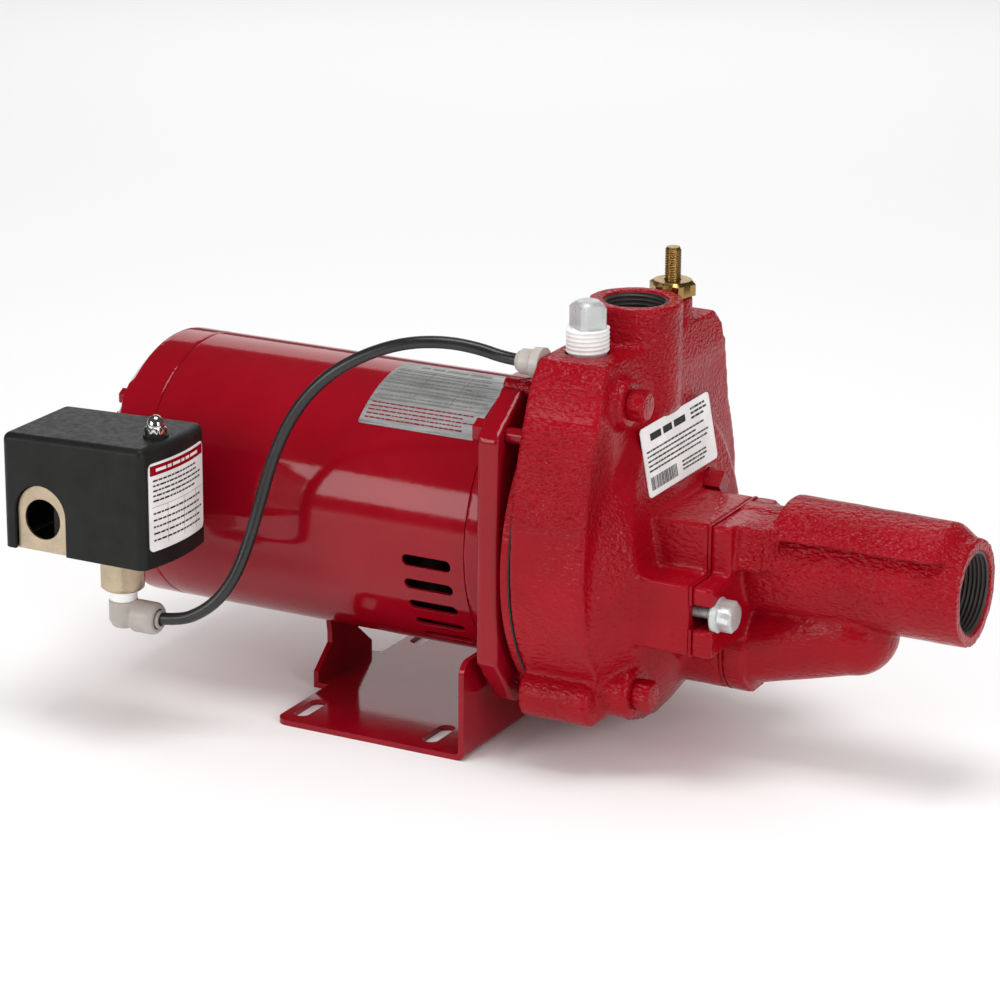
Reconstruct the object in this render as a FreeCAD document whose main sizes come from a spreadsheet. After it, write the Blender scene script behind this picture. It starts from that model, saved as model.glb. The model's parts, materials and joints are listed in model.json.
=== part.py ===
"""Shallow well jet pump: motor, cast pump casing, jet body and pressure switch.

Millimetres. +X runs along the shaft towards the suction port, +Z is up, and the origin is the
centre of the four base slots, on the surface that the pump stands on. Every size is a cell of the
sheet "sizes"; a formula such as "shell_rear + shell_wall" is written in the names of its cells.
"""
import FreeCAD, Part
import math
import os
import re

import Sketcher

Vector = FreeCAD.Vector
Rotation = FreeCAD.Rotation
Placement = FreeCAD.Placement

SIZES = {
    # the shaft and the fits
    "shaft_height": 104.8, "running_gap": 0.05, "free_gap": 0.4,
    # pressed steel base
    "base_rear": -47, "base_front": 64, "base_half": 83.5, "base_sheet": 3, "base_corner": 7,
    "slot_across": 38.1, "slot_along": 61.9, "slot_wide": 8.8, "slot_long": 25.7,
    "web_top": 52.5, "web_shoulder": 7.5, "strap_front": -53, "strap_waist": 14,
    "strap_top_half": 16, "strap_foot_half": 28.5, "cradle_top": 38,
    # motor shell and end bells
    "shell_radius": 71.5, "shell_wall": 1.6, "shell_rear": -133, "shell_front": 57,
    "bell_rear": -163, "bell_wall": 3.5, "bell_shoulder": 62, "bell_shoulder_rear": -154,
    "flange_rear": 70, "flange_front": 82, "flange_half": 82.5, "flange_side_top": 67,
    "flange_side_low": -50, "flange_top": 90, "flange_top_half": 50, "flange_low": -77,
    "flange_low_half": 61, "spigot_rear": 51, "bell_web": 6,
    "vent_rear": 21.5, "vent_long": 28, "vent_tall": 6.2, "vent_first": 6, "vent_pitch": 11,
    # bearings, by their trade sizes 6204 and 6203
    "front_bore": 10, "front_ring": 23.5, "front_bearing_rear": 58, "front_bearing_wide": 14,
    "rear_bore": 8.5, "rear_ring": 20, "rear_bearing_rear": -159, "rear_bearing_wide": 12,
    "hub_wall": 5,
    # rotor, stator and shaft
    "core_rear": -60, "core_front": 12, "stator_bore": 36, "air_gap": 0.6,
    "winding_inner": 40, "winding_outer": 60, "winding_rear": 28, "winding_front": 24,
    "fan_deep": 10, "fan_inner": 14, "fan_outer": 34, "fan_blade": 2.4,
    "shaft_rear": -158, "shaft_core": 11, "stub_radius": 8, "shaft_front": 113,
    "tie_radius": 2.5, "tie_circle": 64.5, "tie_seat": -157, "tie_flats": 8, "tie_head": 4,
    # starting gear inside the rear bell
    "governor_rear": -112, "governor_deep": 8, "governor_hub": 16, "weight_outer": 25,
    "collar_rear": -124, "collar_deep": 8, "collar_radius": 18,
    "board_rear": -133, "board_deep": 2, "board_radius": 62,
    "capacitor_radius": 17, "capacitor_up": 46, "capacitor_rear": -156, "capacitor_long": 48,
    "terminals_rear": -152, "terminals_deep": 4, "terminals_near": 27, "terminals_wide": 26,
    "terminals_tall": 44,
    "plate_rear": -17, "plate_long": 67, "plate_start": 47.7, "plate_sweep": 46,
    "plate_thick": 0.4,
    # adapter, mechanical seal and slinger
    "adapter_hub": 60, "adapter_rim": 89, "adapter_rim_rear": 87, "adapter_front": 91,
    "gasket_thick": 1, "gasket_inner": 77.5, "adapter_bore": 10, "seat_outer": 14,
    "seat_inner": 9, "seat_rear": 86, "seal_outer": 13, "seal_front": 97,
    "slinger_rear": 77.5, "slinger_deep": 2.5, "slinger_radius": 12.4,
    # casing
    "casing_rear": 92, "casing_front": 133, "casing_half": 89.7, "casing_top": 105,
    "casing_top_half": 60, "casing_side_top": 98, "casing_side_half": 67,
    "casing_belly": 5, "side_curve": 190, "volute_radius": 89.8, "casing_far_top": 65,
    "casing_far_half": 70.5, "casing_far_up": 99, "casing_far_waist": 78,
    "casing_far_waist_up": 55, "far_curve": 120,
    "slope_angle": 10.7, "slope_reach": 137, "slope_at": 67.2,
    "hub_rear": 131, "hub_front": 157, "hub_rear_radius": 86, "hub_front_radius": 51,
    "cavity_radius": 76.5, "cavity_front": 125, "chamber_half": 50, "chamber_top": 97,
    "chamber_rear": 99, "chamber_front": 123,
    "outlet_x": 115.7, "outlet_radius": 23.7, "outlet_hole": 16.2, "outlet_top": 229,
    "outlet_thread": 20, "outlet_root": 175, "thread_step": 0.8,
    "upper_bolt_half": 50, "upper_bolt_up": 85.2, "lower_bolt_half": 56, "lower_bolt_up": -62,
    "bolt_radius": 4.7, "bolt_flats": 14.3, "bolt_head": 9, "upper_seat": 138.5,
    "lower_seat": 147, "lug_half": 80, "lug_inner": 44, "lug_low": -78, "lug_up": -54,
    "lug_front": 131, "lug_round": 11, "boss_radius": 13, "recess_radius": 12.5,
    # jet flange, shared by the casing and the jet body
    "jet_face": 176.5, "jet_gasket": 1.5, "jet_flange": 10.5, "pad_half": 40, "pad_up": 26,
    "pad_top_far": 15, "pad_far_up": 8,
    "ear_half": 61, "ear_up": 1, "ear_low": -35.5, "drive_up": -46.8, "drive_radius": 24,
    "drive_hole": 11, "throat_hole": 24.1, "jet_bolt_half": 50, "jet_bolt_up": -15,
    "jet_slot": 6.3, "jet_slot_start": 44, "jet_bolt_radius": 4.7, "jet_bolt_flats": 14.3,
    # jet body
    "port_face": 301.6, "port_hole": 20.8, "port_thread": 24, "barrel_radius": 27.1,
    "crown_rear": 203, "crown_front": 288, "crown_rear_radius": 34.2, "crown_front_radius": 33,
    "crown_low": 20, "crown_end": 297, "knob_front": 202, "knob_low_half": 36.5,
    "knob_top_half": 33, "knob_low": 3.6, "knob_up": 25.6, "knob_nose": 208,
    "bend_x": 240, "bend_up": -30.5, "bend_radius": 22, "bend_tilt": 14.4, "ball_step": 0.4,
    "holder_radius": 15, "holder_rear": 224, "holder_front": 252, "nozzle_socket": 8,
    "nozzle_tip": 212, "nozzle_hole": 3.6, "venturi_rear": 152, "venturi_front": 206,
    "venturi_radius": 15, "venturi_throat": 6, "venturi_mouth": 13.5,
    # impeller and diffuser
    "impeller_rear": 101, "impeller_front": 115, "impeller_radius": 54, "shroud": 2.2,
    "impeller_hub": 14, "eye_radius": 16, "eye_wall": 2.4, "eye_front": 121,
    "vane_thick": 2, "vane_inner": 18,
    "diffuser_rear": 99, "diffuser_front": 123.5, "diffuser_inner": 57, "diffuser_outer": 75,
    "diffuser_wall": 2.5, "tail_inner": 19.5, "tail_outer": 23, "ring_rear": 141,
    "ring_deep": 4,
    # plugs and regulator
    "prime_x": 108, "prime_y": -38, "prime_radius": 10.3, "prime_low": 201, "prime_neck": 222,
    "prime_flats": 14, "prime_top": 236, "tape_low": 210.2, "tape_thick": 0.6,
    "gauge_y": 30, "gauge_up": 24.5, "gauge_rear": 128, "gauge_seat": 144.6, "gauge_front": 153,
    "gauge_radius": 6.8, "gauge_flats": 9.5,
    "drain_y": 30, "drain_up": -66, "drain_rear": 126, "drain_seat": 139, "drain_front": 150,
    "valve_x": 118.8, "valve_y": 36, "valve_boss": 10.5, "valve_boss_top": 223.5,
    "bonnet_top": 231, "bonnet_flats": 21, "bonnet_neck": 8.9, "bonnet_low": 207,
    "stem_radius": 4.2, "stem_top": 248, "stem_low": 194, "disc_radius": 8.4,
    "disc_thick": 4, "valve_well": 10,
    "label_y": 2, "label_up": 51.2, "label_wide": 80, "label_tall": 35, "label_thick": 0.4,
    # pressure switch
    "switch_rear": -166, "switch_front": -82, "switch_near": -150, "switch_far": -91.5,
    "switch_low": 97, "switch_top": 161, "cover_wall": 2, "cover_corner": 4.5,
    "cover_rim": 4, "cover_bulge": 105, "cover_front_up": 160.6, "cover_rear_up": 157.2,
    "seat_radius": 6.5, "arch_x": -143.3, "arch_up": 117, "arch_radius": 15.4,
    "knockout_radius": 10.6, "knockout_up": 114,
    "frame_sheet": 1.5, "nipple_x": -146, "nipple_radius": 10.4, "nipple_wall": 2,
    "nipple_near": -98, "nipple_far": -61, "bell_boss": 13, "nut_deep": 3.5, "nut_radius": 14,
    "stud_x": -89.5, "stud_y": -124, "stud_radius": 2.4, "stud_top": 166, "acorn_flats": 10,
    "acorn_hex": 4, "acorn_top": 171, "acorn_dome": 4.6,
    "port_x": -117.4, "port_y": -115, "hex_flats": 22, "hex_low": 72, "hex_top": 92,
    "dish_radius": 21, "dish_top": 95, "dish_hole": 17, "dish_floor": 93.2,
    "membrane": 1.2, "plunger_radius": 4.5, "plunger_top": 106,
    "plunger_nose": 2, "plunger_tip": 1.5,
    "lever_rear": -127.5, "lever_front": -94, "lever_low": 106.6, "lever_thick": 1.6,
    "lever_half": 9, "pivot_x": -125.2, "pivot_radius": 1.6, "pivot_half": 12.5,
    "contact_gap": 2, "contact_half": 6,
    "post_x": -97.5, "range_y": -99.3, "range_radius": 5.4, "range_top": 138,
    "diff_y": -138, "diff_radius": 4.5, "diff_top": 124, "post_radius": 2.4,
    "block_rear": -139.5, "block_front": -130, "block_near": -143, "block_far": -99.5,
    "block_top": 126, "screw_radius": 3, "screw_head": 2,
    "sticker_near": -145.5, "sticker_far": -96, "sticker_low": 105.8, "sticker_top": 151.8,
    "sticker_thick": 0.4,
    # pressure tube and its two fittings
    "tube_radius": 3.175, "elbow_radius": 7.6, "elbow_low": 50.9, "elbow_top": 66,
    "thread_radius": 6.4, "cup_radius": 8.5, "cup_rear": -112, "cup_front": -96,
    "elbow_bore": 2.5,
    "tube_low": 58.5, "joint_y": -54, "joint_up": 205, "joint_rear": 78, "joint_radius": 6.4,
    "joint_thread": 4, "joint_front": 97, "joint_deep": 8,
}

TUBE_ROUTE = [
    # the pressure tube from inside the switch elbow to inside the casing's connector, by hand
    (-110.0, -115.0, 58.5), (-86.0, -115.0, 58.5), (-68.0, -111.5, 67.8), (-57.5, -106.5, 81.5),
    (-51.5, -100.0, 101.0), (-47.3, -93.5, 124.5), (-42.3, -88.8, 148.0), (-33.0, -84.5, 170.0),
    (-18.5, -80.3, 188.5), (0.5, -75.3, 201.7), (21.0, -69.0, 209.8), (40.5, -62.5, 211.6),
    (57.0, -56.5, 209.0), (71.5, -54.0, 205.0), (86.0, -54.0, 205.0),
]

document = FreeCAD.newDocument("jet_pump")
sheet = document.addObject("Spreadsheet::Sheet", "sizes")
for row, (alias, value) in enumerate(SIZES.items(), start=1):
    sheet.set("A%d" % row, alias)
    sheet.set("B%d" % row, str(value))
    sheet.setAlias("B%d" % row, alias)
document.recompute()

FUNCTIONS = {"sqrt", "sin", "cos", "tan", "atan", "abs"}
TURNS = {"x": Rotation(Vector(0, 1, 0), 90), "y": Rotation(Vector(1, 0, 0), -90),
         "z": Rotation()}
AXIS_UP = "shaft_height"
pieces = []


# ---------------------------------------------------------------- formulas and placing

def in_sheet(formula):
    """A formula with the sheet's name in front of each of its cells."""
    def named(match):
        word = match.group(0)
        return word if word in FUNCTIONS else "sizes." + word
    return re.sub(r"[a-z][a-z_]+", named, str(formula))


def size(formula):
    """The number that a formula gives now."""
    return float(sheet.evalExpression(in_sheet(formula)))


def bind(thing, formulas):
    """Bind properties of a document object to formulas."""
    for name, formula in formulas.items():
        thing.setExpression(name, in_sheet(formula))


def put(thing, spot, along="z", spin=0):
    """Stand an object at a spot given by three formulas, with its own Z along an axis."""
    thing.Placement = Placement(Vector(), TURNS[along] * Rotation(Vector(0, 0, 1), spin))
    bind(thing, {"Placement.Base." + axis: formula for axis, formula in zip("xyz", spot)})
    return thing


def piece(node, thing):
    """Name a finished sub-part after its node."""
    thing.Label = node
    pieces.append(thing)
    return thing


# ---------------------------------------------------------------- solids bound to the sheet

def rod(radius, spot, length, along="x"):
    """A cylinder that starts at a spot."""
    thing = document.addObject("Part::Cylinder", "rod")
    bind(thing, {"Radius": radius, "Height": length})
    return put(thing, spot, along)


def cone(start_radius, end_radius, spot, length, along="x"):
    thing = document.addObject("Part::Cone", "cone")
    bind(thing, {"Radius1": start_radius, "Radius2": end_radius, "Height": length})
    return put(thing, spot, along)


def ball(radius, spot):
    thing = document.addObject("Part::Sphere", "ball")
    bind(thing, {"Radius": radius})
    return put(thing, spot)


def block(low, high):
    """A box between two corners."""
    thing = document.addObject("Part::Box", "block")
    spans = ["(%s) - (%s)" % (far, near) for near, far in zip(low, high)]
    bind(thing, dict(zip(("Length", "Width", "Height"), spans)))
    return put(thing, low)


def nut(flats, spot, length, along="x", sides=6, spin=0):
    """A regular prism, by its width across flats."""
    thing = document.addObject("Part::Prism", "nut")
    thing.Polygon = sides
    half_turn = math.cos(math.pi / sides)
    bind(thing, {"Circumradius": "(%s) / 2 / %.6f" % (flats, half_turn), "Height": length})
    return put(thing, spot, along, spin)


def join(*things):
    thing = document.addObject("Part::MultiFuse", "join")
    thing.Shapes = list(things)
    thing.Refine = True
    return thing


def group(*things):
    """Separate solids in one node, such as a set of equal bolts."""
    thing = document.addObject("Part::Compound", "group")
    thing.Links = list(things)
    return thing


def cut(base, *tools):
    thing = document.addObject("Part::Cut", "cut")
    thing.Base = base
    thing.Tool = tools[0] if len(tools) == 1 else join(*tools)
    return thing


def common(base, tool):
    thing = document.addObject("Part::Common", "common")
    thing.Base = base
    thing.Tool = tool
    return thing


def ring(inner, outer, spot, length, along="x"):
    """A plain bush: one cylinder less a thinner one through it."""
    return cut(rod(outer, spot, length, along), rod(inner, spot, length, along))


def swung(thing, angle, up=AXIS_UP):
    """An object drawn about the X axis, swung by an angle formula and lifted to an axis."""
    frame = document.addObject("Part::Compound", "swung")
    frame.Links = [thing]
    frame.Placement = Placement(Vector(), Rotation(Vector(1, 0, 0), 1))
    bind(frame, {"Placement.Rotation.Angle": angle, "Placement.Base.z": up})
    return frame


# ---------------------------------------------------------------- sketches and bodies

def origin_plane(body, role):
    return next(plane for plane in body.Origin.OriginFeatures if plane.Role == role)


def arc_through(start, end, radius):
    """The shorter arc between two points; a negative radius bulges to the left."""
    chord = end - start
    left = Vector(-chord.y, chord.x, 0).normalize()
    rise = math.sqrt(radius ** 2 - (chord.Length / 2) ** 2)
    side = 1 if radius > 0 else -1
    centre = (start + end) * 0.5 + left * (side * rise)
    first, last = (start, end) if radius > 0 else (end, start)
    angles = [math.atan2(point.y - centre.y, point.x - centre.x) for point in (first, last)]
    circle = Part.Circle(centre, Vector(0, 0, 1), abs(radius))
    return Part.ArcOfCircle(circle, angles[0], angles[1])


def draw(sketch, corners):
    """Draw a closed outline. A corner is (across, up), or (across, up, radius) when an arc
    leads on from it, and each corner is held by formulas."""
    spots = [Vector(size(corner[0]), size(corner[1]), 0) for corner in corners]
    ends = []
    for index, corner in enumerate(corners):
        start, end = spots[index], spots[(index + 1) % len(spots)]
        if len(corner) == 2:
            edge = sketch.addGeometry(Part.LineSegment(start, end), False)
            ends.append((edge, 1, 2))
        else:
            radius = size(corner[2])
            edge = sketch.addGeometry(arc_through(start, end, radius), False)
            ends.append((edge, 1, 2) if radius > 0 else (edge, 2, 1))
    for index, (edge, first, last) in enumerate(ends):
        following, near_end, _ = ends[(index + 1) % len(ends)]
        sketch.addConstraint(Sketcher.Constraint("Coincident", edge, last, following, near_end))
        hold(sketch, edge, first, corners[index])
    for (edge, _, _), corner in zip(ends, corners):
        if len(corner) == 3:
            radius = abs(size(corner[2]))
            number = sketch.addConstraint(Sketcher.Constraint("Radius", edge, radius))
            bind(sketch, {"Constraints[%d]" % number: "abs(%s)" % corner[2]})


def hold(sketch, edge, end, corner):
    """Hold one end of an edge at its corner's formulas."""
    for kind, axis, formula in (("DistanceX", -2, corner[0]), ("DistanceY", -1, corner[1])):
        value = size(formula)
        if value == 0:
            sketch.addConstraint(Sketcher.Constraint("PointOnObject", edge, end, axis))
            continue
        number = sketch.addConstraint(Sketcher.Constraint(kind, -1, 1, edge, end, value))
        bind(sketch, {"Constraints[%d]" % number: formula})


def sketch_on(body, role, corners, offset="0"):
    sketch = body.newObject("Sketcher::SketchObject", "sketch")
    sketch.AttachmentSupport = (origin_plane(body, role), [""])
    sketch.MapMode = "FlatFace"
    bind(sketch, {"AttachmentOffset.Base.z": offset})
    draw(sketch, corners)
    return sketch


def new_body(spot=("0", "0", "0")):
    return put(document.addObject("PartDesign::Body", "body"), spot)


def pad(body, role, corners, length, offset="0"):
    """Pad an outline along its plane's normal, from an offset."""
    feature = body.newObject("PartDesign::Pad", "pad")
    feature.Profile = sketch_on(body, role, corners, offset)
    bind(feature, {"Length": length})
    body.Tip = feature
    return feature


def turned(corners, spot=("0", "0", AXIS_UP), degrees="360"):
    """A body turned about X (or about Z for a vertical part) from corners (along, radius)."""
    body = new_body(spot)
    feature = body.newObject("PartDesign::Revolution", "turned")
    sketch = sketch_on(body, "XY_Plane", corners)
    feature.Profile = sketch
    feature.ReferenceAxis = (sketch, ["H_Axis"])
    bind(feature, {"Angle": degrees})
    body.Tip = feature
    return body


def upright(corners, spot):
    """A body turned about Z from corners (radius, height)."""
    body = new_body(spot)
    feature = body.newObject("PartDesign::Revolution", "turned")
    sketch = sketch_on(body, "XZ_Plane", corners)
    feature.Profile = sketch
    feature.ReferenceAxis = (sketch, ["V_Axis"])
    body.Tip = feature
    return body


def mirrored(corners):
    """An outline given for +Y only, completed with its mirror image across the Z axis."""
    other = [("-(%s)" % corner[0],) + tuple(corner[1:2]) for corner in reversed(corners)]
    return [tuple(corner[:2]) for corner in corners] + other


def rounded(body, feature, spots, radius):
    """Round the edges along Z (or along the pad) that pass through the given points."""
    document.recompute()
    names = []
    for number, edge in enumerate(feature.Shape.Edges, start=1):
        middle = edge.CenterOfMass
        if any((middle - spot).Length < 1 for spot in spots):
            names.append("Edge%d" % number)
    fillet = body.newObject("PartDesign::Fillet", "rounded")
    fillet.Base = (feature, names)
    bind(fillet, {"Radius": radius})
    body.Tip = fillet
    return fillet


# ---------------------------------------------------------------- base and motor housing

def above_shaft(formula):
    return "%s + %s" % (AXIS_UP, formula)


def base_slot(side_x, side_y):
    """The cutter of one slotted bolt hole, long across the shaft."""
    x, y = "%d * slot_across" % side_x, "%d * slot_along" % side_y
    reach = "(slot_long - slot_wide) / 2"
    middle = block((x + " - slot_wide / 2", "%s - %s" % (y, reach), "-1"),
                   (x + " + slot_wide / 2", "%s + %s" % (y, reach), "base_sheet + 1"))
    ends = [rod("slot_wide / 2", (x, "%s %s %s" % (y, sign, reach), "-1"), "base_sheet + 2", "z")
            for sign in "+-"]
    return join(middle, *ends)


def motor_base():
    """Pressed plate with a full web bent up in front and a waisted strap behind."""
    body = new_body()
    pad(body, "XY_Plane", [
        ("base_rear + base_corner", "-base_half"), ("base_front", "-base_half"),
        ("base_front", "base_half"), ("base_rear + base_corner", "base_half", "base_corner"),
        ("base_rear", "base_half - base_corner"),
        ("base_rear", "-base_half + base_corner", "base_corner")], "base_sheet")
    pad(body, "XY_Plane", [
        ("strap_front - base_sheet", "-strap_foot_half"), ("base_rear + 1", "-strap_foot_half"),
        ("base_rear + 1", "strap_foot_half"), ("strap_front - base_sheet", "strap_foot_half"),
    ], "base_sheet")
    strap = [("strap_foot_half", "0"), ("strap_foot_half", "9"), ("strap_waist", "21"),
             ("strap_waist", "27"), ("strap_top_half", "cradle_top")]
    pad(body, "YZ_Plane", mirrored(strap), "base_sheet", "strap_front - base_sheet")
    shoulder = "web_top - web_shoulder"
    web = pad(body, "YZ_Plane", [
        ("-base_half", "0"), ("base_half", "0"), ("base_half", shoulder, "web_shoulder"),
        ("base_half - web_shoulder", "web_top"),
        ("-base_half + web_shoulder", "web_top", "web_shoulder"), ("-base_half", shoulder)],
        "base_sheet", "base_front - base_sheet")
    front, sheet_deep = size("base_front"), size("base_sheet")
    rounded(body, web, [Vector(front, 0, 0)], "base_sheet + 1")
    rounded(body, body.Tip, [Vector(front - sheet_deep, 0, sheet_deep)], "base_sheet / 2")
    cradle = rod("shell_radius", ("base_rear - 20", "0", AXIS_UP), "base_front - base_rear + 40")
    slots = [base_slot(side_x, side_y) for side_x in (-1, 1) for side_y in (-1, 1)]
    return piece("motor_base", cut(body, cradle, *slots))


def motor_shell():
    """Rolled steel tube with a fan of louvre slots low on each side."""
    inner = "shell_radius - shell_wall"
    tube = turned([("shell_rear", inner), ("shell_front", inner),
                   ("shell_front", "shell_radius"), ("shell_rear", "shell_radius")])
    low, high = "-shell_radius - 3", "-shell_radius + 8"
    start, end = "vent_rear + vent_tall / 2", "vent_rear + vent_long - vent_tall / 2"
    slot = join(block((start, low, "-vent_tall / 2"), (end, high, "vent_tall / 2")),
                *[rod("vent_tall / 2", (spot, low, "0"), "11", "y") for spot in (start, end)])
    angles = ["vent_first + %d * vent_pitch" % step for step in range(5)]
    vents = [swung(slot, angle) for angle in angles]
    vents += [swung(slot, "180 - (%s)" % angle) for angle in angles]
    return piece("motor_shell", cut(tube, *vents))


def tie_spots():
    """The four corners of the tie bolt circle, as pairs of formulas."""
    half = math.sqrt(0.5)
    return [("tie_circle * %.5f" % (half * side_y), above_shaft("tie_circle * %.5f" % (half * side_z)))
            for side_y in (-1, 1) for side_z in (-1, 1)]


def rear_end_bell():
    """Cast cup that closes the motor's back, with the bearing pocket inside."""
    rim = "shell_radius - bell_wall"
    hub = "rear_ring + hub_wall"
    mouth = "rear_bearing_rear + rear_bearing_wide"
    cup = turned([
        ("bell_rear", "0"), ("rear_bearing_rear - 1", "0"), ("rear_bearing_rear - 1", "rear_ring - 4"),
        ("rear_bearing_rear", "rear_ring - 4"), ("rear_bearing_rear", "rear_ring"),
        (mouth, "rear_ring"), (mouth, hub), ("bell_rear + bell_wall", hub),
        ("bell_rear + bell_wall", "bell_shoulder - 2"), ("bell_shoulder_rear + 1", rim),
        ("shell_rear", rim), ("shell_rear", "shell_radius"),
        ("bell_shoulder_rear", "shell_radius"), ("bell_rear", "bell_shoulder")])
    boss = rod("bell_boss", ("nipple_x", "switch_far", "arch_up"), "-switch_far - 62", "y")
    inside = rod(rim, ("bell_rear + bell_wall", "0", AXIS_UP), "30")
    outside_boss = cut(boss, inside)
    hole = rod("nipple_radius", ("nipple_x", "switch_far - 1", "arch_up"), "-switch_far - 50", "y")
    notches = [rod("tie_flats", ("bell_rear - 1", y, z), "tie_seat - bell_rear + 1")
               for y, z in tie_spots()]
    holes = [rod("tie_radius", ("bell_rear", y, z), "40") for y, z in tie_spots()]
    seats = [common(rod("tie_flats + 1", ("tie_seat", y, z), "4"),
                    rod("shell_radius", ("tie_seat", "0", AXIS_UP), "4")) for y, z in tie_spots()]
    return piece("rear_end_bell", cut(join(cut(cup, *notches), outside_boss, *seats), hole, *holes))


def front_end_bell():
    """Front casting: spigot in the shell, bearing pocket and the pump's mounting flange."""
    inner = "shell_radius - shell_wall"
    ring_end = "front_bearing_rear + front_bearing_wide"
    hub = "front_ring + hub_wall"
    web = "flange_rear - bell_web"
    bell = turned([
        ("spigot_rear", inner + " - 4"), (web, inner + " - 4"), (web, hub),
        ("front_bearing_rear", hub), ("front_bearing_rear", "front_ring"),
        (ring_end, "front_ring"), (ring_end, "front_bore + 3"),
        ("flange_rear + 6", "front_bore + 3"), ("flange_rear + 6", "shell_radius"),
        ("shell_front", "shell_radius"), ("shell_front", inner), ("spigot_rear", inner)])
    plate = new_body(("flange_rear", "0", AXIS_UP))
    pad(plate, "YZ_Plane", mirrored([
        ("flange_low_half", "flange_low"), ("flange_half", "flange_side_low"),
        ("flange_half", "flange_side_top"), ("flange_top_half", "flange_top")]),
        "flange_front - flange_rear")
    rounded(plate, plate.Tip, [
        Vector(size("(flange_front - flange_rear) / 2"), side * size(half), size(up))
        for side in (-1, 1) for half, up in (("flange_half", "flange_side_low"),
                                             ("flange_half", "flange_side_top"),
                                             ("flange_low_half", "flange_low"))], "6")
    bore = rod("front_bore + 3", ("flange_rear", "0", AXIS_UP), "20")
    tap_holes = [rod(radius, ("flange_rear - 1", y, z), "20")
                 for radius, y, z in casing_bolt_spots() + flange_screw_spots()]
    ties = [rod("tie_radius", ("spigot_rear - 1", y, z), "flange_rear - spigot_rear + 1")
            for y, z in tie_spots()]
    pocket = rod("front_ring", ("front_bearing_rear", "0", AXIS_UP), "front_bearing_wide")
    return piece("front_end_bell", cut(join(bell, plate), bore, pocket, *tap_holes, *ties))


def casing_bolt_spots():
    """Radius, y and z of the three bolts that hold the casing on the motor flange."""
    return [("bolt_radius", "%d * %s_bolt_half" % (side, row), above_shaft(row + "_bolt_up"))
            for row, side in (("upper", -1), ("lower", -1), ("lower", 1))]


def flange_screw_spots():
    """Radius, y and z of the two screws put in from the motor side."""
    return [("4", "%d * 71" % side, above_shaft("67")) for side in (-1, 1)]


def through_bolts():
    bolts = []
    for y, z in tie_spots():
        head = nut("tie_flats", ("tie_seat - tie_head", y, z), "tie_head")
        shank = rod("tie_radius", ("tie_seat", y, z), "flange_rear - tie_seat")
        bolts.append(join(head, shank))
    return piece("through_bolts", group(*bolts))


def flange_screws():
    screws = []
    for radius, y, z in flange_screw_spots():
        head = nut("11", ("flange_rear - 5.5", y, z), "5.5")
        screws.append(join(head, rod(radius, ("flange_rear", y, z), "casing_rear + 10 - flange_rear")))
    return piece("flange_screws", group(*screws))


# ---------------------------------------------------------------- inside the motor

def stator_core():
    core = ring("stator_bore", "shell_radius - shell_wall", ("core_rear", "0", AXIS_UP),
                "core_front - core_rear")
    channels = [rod("tie_radius + 1.5", ("core_rear - 1", y, z), "core_front - core_rear + 2")
                for y, z in tie_spots()]
    return piece("stator_core", cut(core, *channels))


def stator_windings():
    """The two rounded bundles of end turns, one each side of the core."""
    bundles = []
    for start, end in (("core_rear - winding_rear", "core_rear"),
                       ("core_front", "core_front + winding_front")):
        bundles.append(turned([
            (start, "winding_inner + 4"), (start + " + 4", "winding_inner"),
            (end + " - 4", "winding_inner"), (end, "winding_inner + 4"),
            (end, "winding_outer - 4"), (end + " - 4", "winding_outer"),
            (start + " + 4", "winding_outer"), (start, "winding_outer - 4")]))
    return piece("stator_windings", group(*bundles))


def motor_shaft():
    """Stepped shaft: two bearing journals, the core seat and the threaded pump end."""
    rear_end = "rear_bearing_rear + rear_bearing_wide + 1"
    front_start = "front_bearing_rear - 1"
    return piece("motor_shaft", turned([
        ("shaft_rear", "0"), ("shaft_rear", "rear_bore"), (rear_end, "rear_bore"),
        (rear_end, "front_bore"), ("core_rear - 10", "front_bore"), ("core_rear - 10", "shaft_core"),
        (front_start, "shaft_core"), (front_start, "front_bore"),
        ("flange_rear + 4", "front_bore"), ("flange_rear + 4", "stub_radius"),
        ("shaft_front - 1", "stub_radius"), ("shaft_front", "stub_radius - 1"),
        ("shaft_front", "0")]))


def rotor_core():
    """Laminated core cast together with the blades that draw air through the louvres."""
    core = ring("shaft_core", "stator_bore - air_gap", ("core_rear", "0", AXIS_UP),
                "core_front - core_rear")
    hoop = ring("fan_inner", "fan_outer", ("core_front", "0", AXIS_UP), "3")
    blade = block(("core_front + 2", "fan_inner + 2", "-fan_blade / 2"),
                  ("core_front + fan_deep", "fan_outer", "fan_blade / 2"))
    blades = [swung(blade, str(turn)) for turn in range(0, 360, 45)]
    return piece("rotor_core", join(core, hoop, *blades))


def bearings():
    gap = "running_gap"
    piece("front_bearing", ring("front_bore + " + gap, "front_ring",
                                ("front_bearing_rear", "0", AXIS_UP), "front_bearing_wide"))
    piece("rear_bearing", ring("rear_bore + " + gap, "rear_ring",
                               ("rear_bearing_rear", "0", AXIS_UP), "rear_bearing_wide"))


def governor():
    """Hub with two flyweights that throw out at speed and push the collar."""
    hub = ring("front_bore", "governor_hub", ("governor_rear", "0", AXIS_UP), "governor_deep")
    weight = block(("governor_rear + 1", "-9", "governor_hub - 3"),
                   ("governor_rear + governor_deep - 1", "9", "weight_outer"))
    weights = [swung(weight, angle) for angle in ("0", "180")]
    piece("governor", join(hub, *weights))
    sleeve = ring("front_bore + running_gap", "collar_radius - 5",
                  ("collar_rear", "0", AXIS_UP), "collar_deep")
    lip = ring("front_bore + running_gap", "collar_radius", ("collar_rear", "0", AXIS_UP), "2")
    piece("governor_collar", join(sleeve, lip))


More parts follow.
